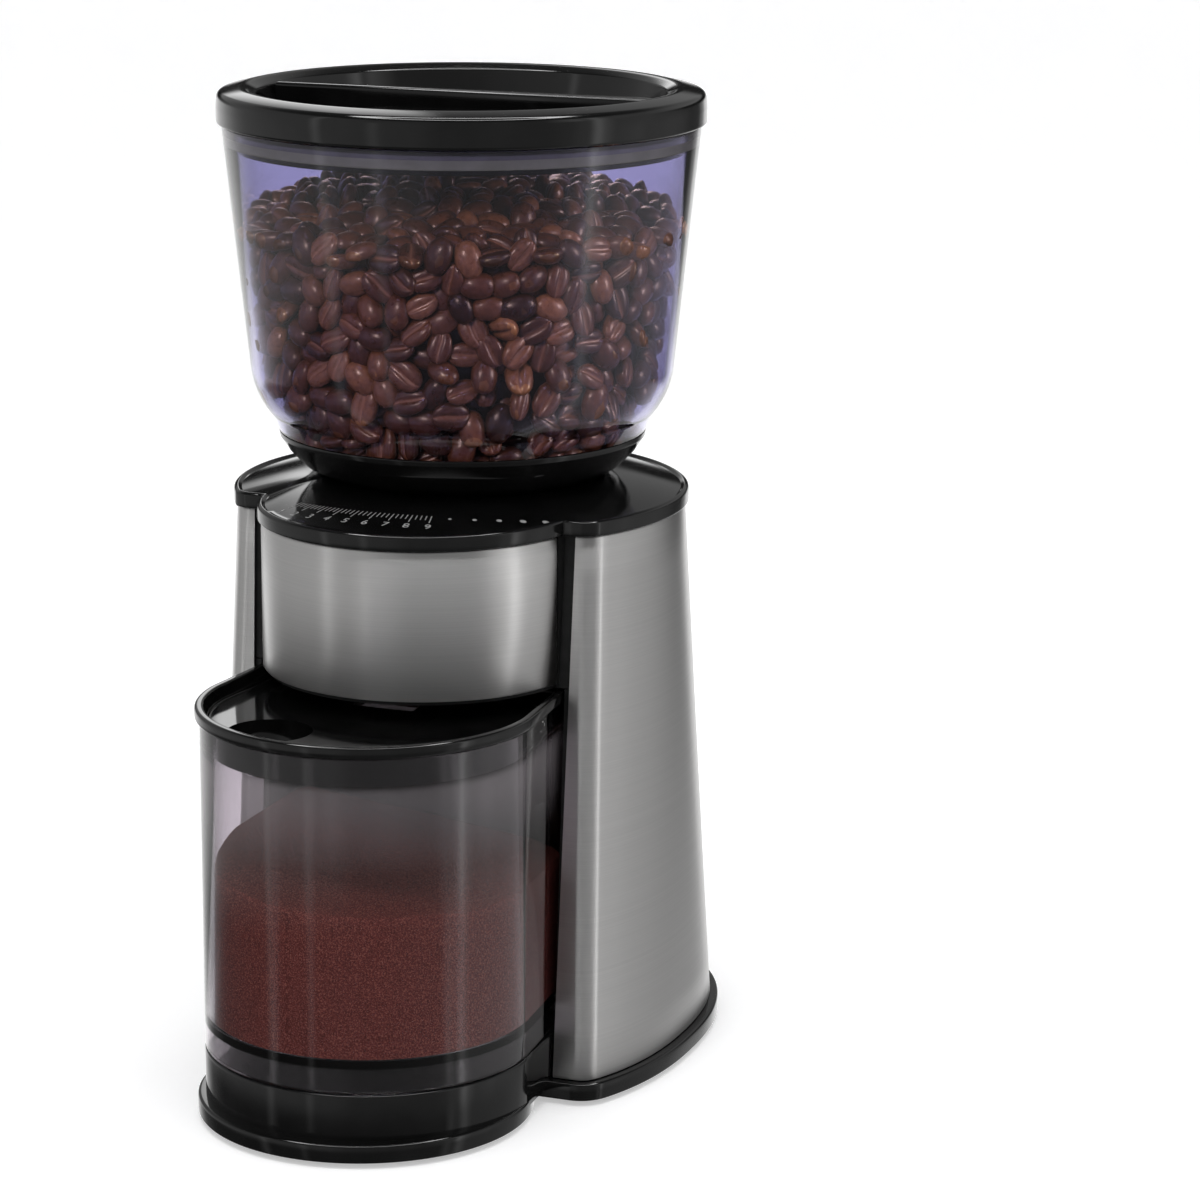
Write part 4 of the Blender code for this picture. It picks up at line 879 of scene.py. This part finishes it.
def bean_mesh():
    """One roasted bean, 11 mm long: domed back, flat face with a crease; returns points, faces, crease."""
    length, width = 11.0 * MM / 2, 8.2 * MM / 2
    back, face = 3.3 * MM, 2.0 * MM
    crease_half_width, crease_depth, crease_wander = 0.55 * MM, 1.5 * MM, 0.35 * MM
    crease_shade, tip_shade = 0.8, 0.2
    end_roundness, face_roundness, wander_turn = 0.86, 0.6, 2.6
    section = [0, 30, 60, 90, 120, 150, 180, 205, 228, 248, 260, 270, 280, 292, 312, 335]
    stations = 9
    points, creases = [], []
    for i in range(1, stations):
        along = -math.cos(math.pi * i / stations)
        girth = math.sqrt(1.0 - along * along) ** end_roundness
        wander = crease_wander * math.sin(along * wander_turn)
        for degrees in section:
            angle = math.radians(degrees)
            y, z = width * math.cos(angle), math.sin(angle)
            if z >= 0:
                z *= back
            else:
                z = -face * abs(z) ** face_roundness
            cleft = math.exp(-((y / crease_half_width) ** 2)) if degrees > 180 else 0.0
            z += crease_depth * cleft * girth
            points.append((length * along, y * girth + (wander if cleft else 0.0), z * girth))
            creases.append(cleft * crease_shade)
    points += [(-length, 0, 0), (length, 0, 0)]
    creases += [tip_shade, tip_shade]
    around = len(section)
    faces = []
    for i in range(stations - 2):
        for j in range(around):
            k = (j + 1) % around
            faces.append((i * around + j, i * around + k, (i + 1) * around + k, (i + 1) * around + j))
    first, last = len(points) - 2, len(points) - 1
    for j in range(around):
        k = (j + 1) % around
        faces.append((first, k, j))
        faces.append((last, (stations - 2) * around + j, (stations - 2) * around + k))
    return np.array(points), faces, np.array(creases)


def inner_radius(z):
    """Inside radius of the bowl, or of the collar's funnel below it."""
    face = [FUNNEL_NECK, FUNNEL_MOUTH] + list(reversed(bowl_face(BOWL_WALL)))
    return np.interp(z, [p[1] for p in face], [p[0] for p in face])


def mound_height(radius):
    """Top of the beans: a low mound under the lid."""
    return MOUND_EDGE + MOUND_RISE * np.clip(1.0 - radius / MOUND_RADIUS, 0.0, 1.0)


def bean_spots(count, spacing, seed):
    """Centres of the beans that can be seen: a layer along the wall and a layer on top, pushed apart."""
    rng = np.random.default_rng(seed)
    clearance = 3.4 * MM
    depth = 9.0 * MM
    top_share = 0.36
    top_radius = 62.0 * MM
    top_thickness = 0.6
    curve_top = 205.0 * MM
    curve_gap = 1.0 * MM
    outward_step = 0.5 * MM
    rounds = 60
    push_share = 0.32
    z = rng.uniform(BEANS_LOW, MOUND_EDGE, count)
    angle = rng.uniform(0, math.tau, count)
    radius = inner_radius(z) - clearance - rng.uniform(0, depth, count)
    on_top = rng.uniform(0, 1, count) < top_share
    radius[on_top] = top_radius * np.sqrt(rng.uniform(0, 1, on_top.sum()))
    z[on_top] = mound_height(radius[on_top]) - clearance - rng.uniform(0, top_thickness, on_top.sum()) * depth
    spots = np.stack([radius * np.cos(angle), radius * np.sin(angle), z], 1)
    for _ in range(rounds):
        gaps = spots[:, None, :] - spots[None, :, :]
        distance = np.sqrt((gaps ** 2).sum(2)) + 1e-9
        push = np.clip(spacing - distance, 0, None) / distance
        np.fill_diagonal(push, 0)
        spots = spots + push_share * (gaps * push[:, :, None]).sum(1)
        radius = np.hypot(spots[:, 0], spots[:, 1])
        top = mound_height(radius) - clearance
        spots[:, 2] = np.clip(spots[:, 2], BEANS_LOW, top)
        limit = inner_radius(spots[:, 2]) - clearance
        limit -= np.where(spots[:, 2] < curve_top, curve_gap, 0.0)
        shrink = np.minimum(1.0, limit / np.maximum(radius, 1e-9))
        buried = (radius < limit - depth) & (spots[:, 2] < top - depth)
        grow = np.where(buried, 1.0 + outward_step / np.maximum(radius, 1e-9), 1.0)
        spots[:, :2] *= (shrink * grow)[:, None]
    return spots


def rotation_onto(normal, spin, tilt_axis, tilt):
    """A turn that lays a bean's flat face against normal, spun about it and tipped a little."""
    base = Vector(UP).rotation_difference(Vector(normal)).to_matrix()
    return np.array(Matrix.Rotation(tilt, 3, Vector(tilt_axis)) @ base @ Matrix.Rotation(spin, 3, 'Z'))


def scatter_beans(name, spots, seed):
    """All the beans of one layer as one mesh with per-bean colour."""
    draw = random.Random(seed)
    top_depth = 7.0 * MM
    flat_share = 0.45
    lean, tilt_spread = 0.15, 0.5
    smallest, largest = 0.88, 1.06
    tone_middle, tone_spread = 0.45, 0.22
    points, faces, creases = bean_mesh()
    all_points, all_faces, tones, lines = [], [], [], []
    for index, spot in enumerate(spots):
        radius = math.hypot(spot[0], spot[1])
        near_top = spot[2] > mound_height(radius) - top_depth
        outward = (spot[0] / radius, spot[1] / radius, lean)
        normal = Vector(UP) if near_top and draw.random() < flat_share else Vector(outward)
        if draw.random() < 0.5:
            normal = -normal
        tip = [draw.uniform(-1, 1) for _ in range(3)]
        turn = rotation_onto(normal, draw.uniform(0, math.tau), tip, draw.gauss(0, tilt_spread))
        size = draw.uniform(smallest, largest)
        all_points.append((points * size) @ turn.T + spot)
        offset = index * len(points)
        all_faces.extend(tuple(v + offset for v in face) for face in faces)
        tones.append(np.full(len(points), min(1.0, max(0.0, draw.gauss(tone_middle, tone_spread)))))
        lines.append(creases)
    mesh = bpy.data.meshes.new(name)
    mesh.from_pydata(np.concatenate(all_points).tolist(), [], all_faces)
    for attribute, values in (("tone", tones), ("crease", lines)):
        layer = mesh.attributes.new(attribute, 'FLOAT', 'POINT')
        layer.data.foreach_set("value", np.concatenate(values).astype(np.float32))
    mesh.shade_smooth()
    finish_piece(name, mesh, BEAN, "hopper")


def beans():
    """The beans that show, in two layers, round a dark core that fills what they hide; the core's darkness is
    painted shade for the deep gaps between beans.
    """
    count = 1150
    spacing = 8.1 * MM
    top_depth = 8.0 * MM
    spots = bean_spots(count, spacing, 7)
    radius = np.hypot(spots[:, 0], spots[:, 1])
    top = spots[:, 2] > mound_height(radius) - top_depth
    scatter_beans("beans_along_wall", spots[~top], 11)
    scatter_beans("beans_on_top", spots[top], 12)
    # The core gets no tone attribute, so the bean material gives it the darkest roast: painted shade seen
    # through the gaps between the beans that show.
    core_gap = 8.0 * MM
    heights = np.linspace(BEANS_LOW + 1.0 * MM, MOUND_EDGE - core_gap, 14)
    wall = [(float(inner_radius(z)) - core_gap, z) for z in heights]
    crown = [(r, float(mound_height(r)) - core_gap) for r in np.linspace(wall[-1][0] - 2 * MM, 0.0, 8)]
    core = spun([(0.0, 189.0 * MM)] + wall + crown, 48)
    finish_mesh("beans_shaded_core", core, BEAN, "hopper")


def heap_height(x, y):
    """Top of the grounds: a low heap left of the inlet that falls away to the right, with lumps."""
    peak_x = -8.0 * MM
    peak_y = INLET_Y - 8.0 * MM
    half_width, half_depth = 40.0 * MM, 44.0 * MM
    fall = 0.05
    away = math.hypot((x - peak_x) / half_width, (y - peak_y) / half_depth)
    heap = GROUNDS_EDGE + GROUNDS_RISE * math.exp(-1.1 * away * away) - fall * x
    lumps = noise.noise(Vector((x, y, 0.0)) * 45) * 1.4 * MM
    crumbs = noise.noise(Vector((x, y, 0.3)) * 160) * 0.35 * MM
    return heap + lumps + crumbs


def grounds():
    """Ground coffee filling the container from its floor to a soft heap."""
    wall = tub_outline(BIN_WALL + 0.35 * MM)
    middle = (0.0, BIN_CENTRE + 14.0 * MM)
    low = BIN_FLOOR + 0.3 * MM
    sides, tops = 14, 42

    def drawn_in(share):
        return [(mix(middle[0], x, share), mix(middle[1], y, share)) for x, y in wall]

    rings = [at_height(drawn_in(share), low) for share in (0.05, 0.9)]
    rings += [[(x, y, mix(low + 0.5 * MM, heap_height(x, y) - 0.8 * MM, i / sides)) for x, y in wall]
              for i in range(sides + 1)]
    rings += [[(x, y, heap_height(x, y)) for x, y in drawn_in(0.988 - i / (tops + 0.5))]
              for i in range(tops)]
    finish_mesh("ground_coffee_heap", loft(rings), GROUNDS, "container")


# ------------------------ scale marks on the deck

def lay_on(deck, bm, lift):
    """Drop flat marks drawn round z = 0 onto the deck."""
    deck_points = [v.co.copy() for v in deck.data.vertices]
    tree = BVHTree.FromPolygons(deck_points, [tuple(p.vertices) for p in deck.data.polygons])
    for vert in bm.verts:
        hit = tree.ray_cast(Vector((vert.co.x, vert.co.y, 1.0)), Vector((0, 0, -1)))[0]
        if hit:
            vert.co.z += hit.z + lift
    return bm


def bar_mark(radius_in, radius_out, degrees, width):
    """A short radial tick about the burr axis, as a thin closed slab."""
    bm = block((radius_out - radius_in, width, 0.04 * MM), ((radius_in + radius_out) / 2, 0, 0))
    turn = Matrix.Rotation(math.radians(degrees), 3, 'Z')
    bmesh.ops.rotate(bm, cent=(0, 0, 0), verts=bm.verts, matrix=turn)
    return bm


def merged(meshes):
    """Several bmeshes as one."""
    whole = bmesh.new()
    for bm in meshes:
        mesh = mesh_from("part", bm)
        whole.from_mesh(mesh)
        bpy.data.meshes.remove(mesh)
    return whole


def digit_mark(text, radius, degrees, size):
    """A numeral lying flat on the deck, its foot towards the rim."""
    curve = bpy.data.curves.new("digit", 'FONT')
    curve.body = text
    curve.size = size
    curve.align_x = 'CENTER'
    curve.align_y = 'CENTER'
    curve.extrude = 0.02 * MM
    carrier = placed("digit", curve)
    depsgraph = bpy.context.evaluated_depsgraph_get()
    mesh = bpy.data.meshes.new_from_object(carrier.evaluated_get(depsgraph))
    bpy.data.objects.remove(carrier)
    bm = bmesh.new()
    bm.from_mesh(mesh)
    bpy.data.meshes.remove(mesh)
    turn = Matrix.Rotation(math.radians(degrees + 90), 4, 'Z')
    bmesh.ops.transform(bm, matrix=turn, verts=bm.verts)
    angle = math.radians(degrees)
    bmesh.ops.translate(bm, vec=(radius * math.cos(angle), radius * math.sin(angle), 0), verts=bm.verts)
    return bm


def grind_scale(deck):
    """Printed grind scale on the nose of the deck: ticks, numerals and dots that grow with the grind."""
    marks = []
    ticks, numbered_every = 33, 4
    first, last = -118.0, -76.0
    for i in range(ticks):
        degrees = mix(first, last, i / (ticks - 1))
        numbered = i % numbered_every == 0
        marks.append(bar_mark(61.5 * MM, (66.5 if numbered else 64.5) * MM, degrees, 0.26 * MM))
        if numbered:
            marks.append(digit_mark(str(i // numbered_every + 1), 69.5 * MM, degrees, 4.2 * MM))
    dots, dot_row, half_print = 5, 63.0 * MM, 0.02 * MM
    for i in range(dots):
        angle = math.radians(-71.0 + 6.5 * i)
        radius = mix(0.5 * MM, 1.1 * MM, i / (dots - 1))
        dot = spun([(0, -half_print), (radius, -half_print), (radius, half_print), (0, half_print)], 20)
        marks.append(turned_to(dot, UP, (dot_row * math.cos(angle), dot_row * math.sin(angle), 0)))
    scale = lay_on(deck, merged(marks), 0.03 * MM)
    finish_mesh("grind_scale_marks", scale, MARK, "body")


# ------------------------ controls

def selector_dial():
    """Knurled dial with a grip bar and a pointer line."""
    centre = (0.0, *on_side(DIAL_LOW, DIAL_HIGH))
    radius = (DIAL_HIGH.z - DIAL_LOW.z) / 2
    outer = AXIS_X - DIAL_LOW.x
    shaft_end = AXIS_X - DIAL_HIGH.x
    inner = 71.6 * MM
    shaft_radius = 3.0 * MM
    knurl = 0.45 * MM
    around = 4 * 48

    def ring(reach, notch):
        """A ring of points, every other pair of them cut back by notch."""
        points = []
        for i in range(around):
            angle = math.tau * i / around
            here = reach - (notch if i % 4 in (0, 1) else 0.0)
            points.append((here * math.cos(angle), here * math.sin(angle)))
        return points

    steps = [(radius - 0.4 * MM, knurl, 0.0), (radius, knurl, 0.4 * MM), (radius, knurl, 2.4 * MM),
             (radius - 0.9 * MM, 0.0, 3.0 * MM), (radius - 2.2 * MM, 0.0, 3.5 * MM),
             (3.0 * MM, 0.0, 3.6 * MM)]
    disc = loft([at_height(ring(reach, notch), inner + out) for reach, notch, out in steps])
    dial = finish_mesh("selector_dial_knob", turned_to(disc, LEFT, centre), GLOSS_BLACK, "dial")
    depth = outer - inner
    bar_size = (depth, 5.0 * MM, 2 * radius - 6.0 * MM)
    carved(dial, block(bar_size, (-(inner + depth / 2), *centre[1:]), 0.9 * MM), 'UNION')
    shaft_top = inner + 1.0 * MM
    shaft = spun([(0, shaft_end), (shaft_radius, shaft_end), (shaft_radius, shaft_top), (0, shaft_top)], 32)
    carved(dial, turned_to(shaft, LEFT, centre), 'UNION')
    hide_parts("selector_dial")
    line_size = (0.12 * MM, 0.9 * MM, 9.0 * MM)
    line = block(line_size, (-(outer + 0.02 * MM), centre[1], centre[2] + 6.5 * MM))
    finish_mesh("selector_dial_line", line, MARK, "dial")


def start_button():
    """Dished push button with a collar inside the wing and a stem that reaches its switch."""
    centre = (0.0, *on_side(BUTTON_LOW, BUTTON_HIGH))
    outer = AXIS_X - BUTTON_LOW.x
    end = AXIS_X - BUTTON_HIGH.x
    cap, collar, stem = 6.0 * MM, 7.6 * MM, 2.4 * MM
    collar_out, collar_in = 65.2 * MM, 63.7 * MM
    outline = filleted([
        (0, outer - 0.7 * MM), (4.6 * MM, outer - 0.3 * MM, 2.0 * MM), (5.3 * MM, outer, 0.4 * MM),
        (cap, outer - 0.7 * MM, 0.4 * MM), (cap, collar_out), (collar, collar_out), (collar, collar_in),
        (stem, collar_in), (stem, end), (0, end)])
    button = finish_mesh("start_button_cap", turned_to(spun(outline, 72), LEFT, centre), GLOSS_BLACK,
                         "button")
    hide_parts("start_button")


# ------------------------ finishes on the CAD nodes that stay

def finish_nodes():
    """Give every CAD node that is still shown its own finish and a softened edge."""
    finishes = {
        "black_satin": SATIN_BLACK, "black_gloss": GLOSS_BLACK, "clear_smoke": BIN_CLEAR,
        "brushed_steel": STEEL, "burr_steel": BURR_STEEL, "zinc_plate": ZINC, "bronze": BRONZE,
        "white_nylon": NYLON, "rubber": RUBBER, "circuit_board": BOARD}
    slots = {row["node"]: row["material_slot"] for row in frame["record"]["subparts"]}
    for name, node in frame["nodes"].items():
        if node.hide_render:
            continue
        node.data.materials.clear()
        node.data.materials.append(finishes[slots[name]])
        soften = node.modifiers.new("soften", 'BEVEL')
        soften.width = SOFT_EDGE
        soften.segments = 2
        soften.limit_method = 'ANGLE'
        soften.angle_limit = SOFT_ANGLE
        soften.use_clamp_overlap = True


# ------------------------ stage, lights and camera

def floor():
    """Pale seamless floor; reflections look past it into the studio."""
    half = 20.0
    corners = [(-half, -half, 0), (half, -half, 0), (half, half, 0), (-half, half, 0)]
    mesh = bpy.data.meshes.new("floor")
    mesh.from_pydata(corners, [], [(0, 1, 2, 3)])
    ground = placed("floor", mesh)
    pale = new_material("pale_floor", (0.86, 0.86, 0.86), 0.9, Emission_Color=(1, 1, 1, 1),
                        Emission_Strength=0.42)
    rough_by(pale, pattern(pale, 12.0), 0.8, 0.95)
    unseen = add_node(pale, "ShaderNodeBsdfTransparent").outputs["BSDF"]
    reflected = light_path_test(pale, "Glossy Depth")
    show(pale, mixed_shader(pale, reflected, shader_of(pale).outputs["BSDF"], unseen))
    mesh.materials.append(pale)


def studio_world():
    """White backdrop; reflections see upright strips and panels round the object and a softbox overhead."""
    world = bpy.data.worlds.new("studio")
    world.use_nodes = True
    world.cycles.sampling_method = 'NONE'
    bpy.context.scene.world = world
    place = add_node(world, "ShaderNodeTexCoord").outputs["Generated"]
    split = add_node(world, "ShaderNodeSeparateXYZ", {"Vector": place}).outputs
    forward = multiplied(world, split["Y"], -1.0)
    bearing = add_node(world, "ShaderNodeMath", {0: split["X"], 1: forward}, operation='ARCTAN2')
    share = spread(world, bearing.outputs[0], 0.0, 1.0, -math.pi, math.pi)

    def strips(stops):
        """Brightness against the bearing; a colour ramp only holds values up to 1, so it is scaled."""
        places = [((degrees + 180) / 360, (bright / SURROUND_PEAK,) * 3) for degrees, bright in stops]
        inputs = {0: ramp(world, share, places), "Scale": SURROUND_PEAK}
        return add_node(world, "ShaderNodeVectorMath", inputs, operation='SCALE').outputs[0]

    def risen(low, high):
        """0 below the low elevation, 1 above the high one."""
        inputs = {"Value": split["Z"], "From Min": math.sin(math.radians(low)),
                  "From Max": math.sin(math.radians(high))}
        return add_node(world, "ShaderNodeMapRange", inputs,
                        interpolation_type='SMOOTHSTEP').outputs["Result"]

    reflected = strips(SURROUND[0][1])
    for (low, high), stops in SURROUND[1:]:
        reflected = mixed_colour(world, risen(low, high), reflected, strips(stops))
    white = (1.0, 1.0, 1.0, 1.0)
    fill = (0.62, 0.62, 0.63, 1.0)
    seen = mixed_colour(world, light_path_test(world, "Glossy Depth"), white, reflected)
    colour = mixed_colour(world, light_path_test(world, "Diffuse Depth"), seen, fill)
    join(world, colour, world.node_tree.nodes["Background"].inputs["Color"])


def lamp(name, azimuth, distance, height, size, radiance, aim_height, lit_only=None, colour=(1, 1, 1)):
    """Rectangular softbox; azimuth is from the front towards the right, in degrees.

    A lamp for the whole object shows in no reflection; one that lights only some pieces glints on them.
    """
    turn = math.radians(azimuth)
    place = Vector((AXIS_X + distance * math.sin(turn), AXIS_Y - distance * math.cos(turn), height))
    light = bpy.data.lights.new(name, 'AREA')
    light.shape = 'RECTANGLE'
    light.size, light.size_y = size
    light.energy = radiance * math.pi * size[0] * size[1]
    light.color = colour
    thing = placed(name, light)
    thing.location = place
    aim = Vector((AXIS_X, AXIS_Y, aim_height)) - place
    thing.rotation_mode = 'QUATERNION'
    thing.rotation_quaternion = aim.to_track_quat('-Z', 'Y')
    if lit_only:
        pieces = bpy.data.collections.new(name + "_pieces")
        for piece in lit_only:
            pieces.objects.link(bpy.data.objects[piece])
        thing.light_linking.receiver_collection = pieces
    else:
        thing.visible_glossy = False


def lights():
    """A softbox over everything, warm lamps for the beans and one for the grounds."""
    lamp("top_softbox", 20, 0.3, 1.2, (0.8, 0.8), 2.5, 0.15)
    beans_shown = ["beans_along_wall", "beans_on_top"]
    warm = (1.0, 0.74, 0.46)
    lamp("bean_key", 0, 0.9, 0.66, (0.20, 0.16), 58.0, 0.24, beans_shown, warm)
    lamp("bean_side", 95, 0.9, 0.45, (0.15, 0.3), 42.0, 0.24, beans_shown, warm)
    lamp("bean_low", -35, 0.9, 0.36, (0.3, 0.14), 7.0, 0.25, beans_shown, warm)
    lamp("bean_back", 205, 0.9, 0.5, (0.3, 0.2), 26.0, 0.24, beans_shown, warm)
    lamp("grounds_key", 5, 0.8, 0.44, (0.3, 0.12), 10.0, 0.08, ["ground_coffee_heap"])


def camera():
    """Long lens from the front right, looking a little down."""
    distance = 1.2
    height = 0.4275
    azimuth = math.radians(22.5)
    look = math.radians(20.50)
    pitch = math.radians(13.554)
    roll = 0.005
    lens = bpy.data.cameras.new("camera")
    lens.lens = 120.66
    lens.sensor_width = 36.0
    lens.clip_start = 0.05
    lens.clip_end = 60.0
    eye = placed("camera", lens)
    eye.location = (AXIS_X + distance * math.sin(azimuth), AXIS_Y - distance * math.cos(azimuth), height)
    ahead = Vector((-math.sin(look) * math.cos(pitch), math.cos(look) * math.cos(pitch), -math.sin(pitch)))
    eye.rotation_mode = 'QUATERNION'
    eye.rotation_quaternion = ahead.to_track_quat('-Z', 'Y') @ Quaternion(UP, roll)
    bpy.context.scene.camera = eye


camera()
studio_world()
floor()
bpy.context.scene.view_settings.view_transform = 'Standard'
hopper_lid()
hopper_bowl()
hopper_collar()
deck = deck_cover()
grind_scale(deck)
front_panel()
wrap_shell()
base_tray()
container_bin()
container_lid()
beans()
grounds()
selector_dial()
start_button()
finish_nodes()
lights()
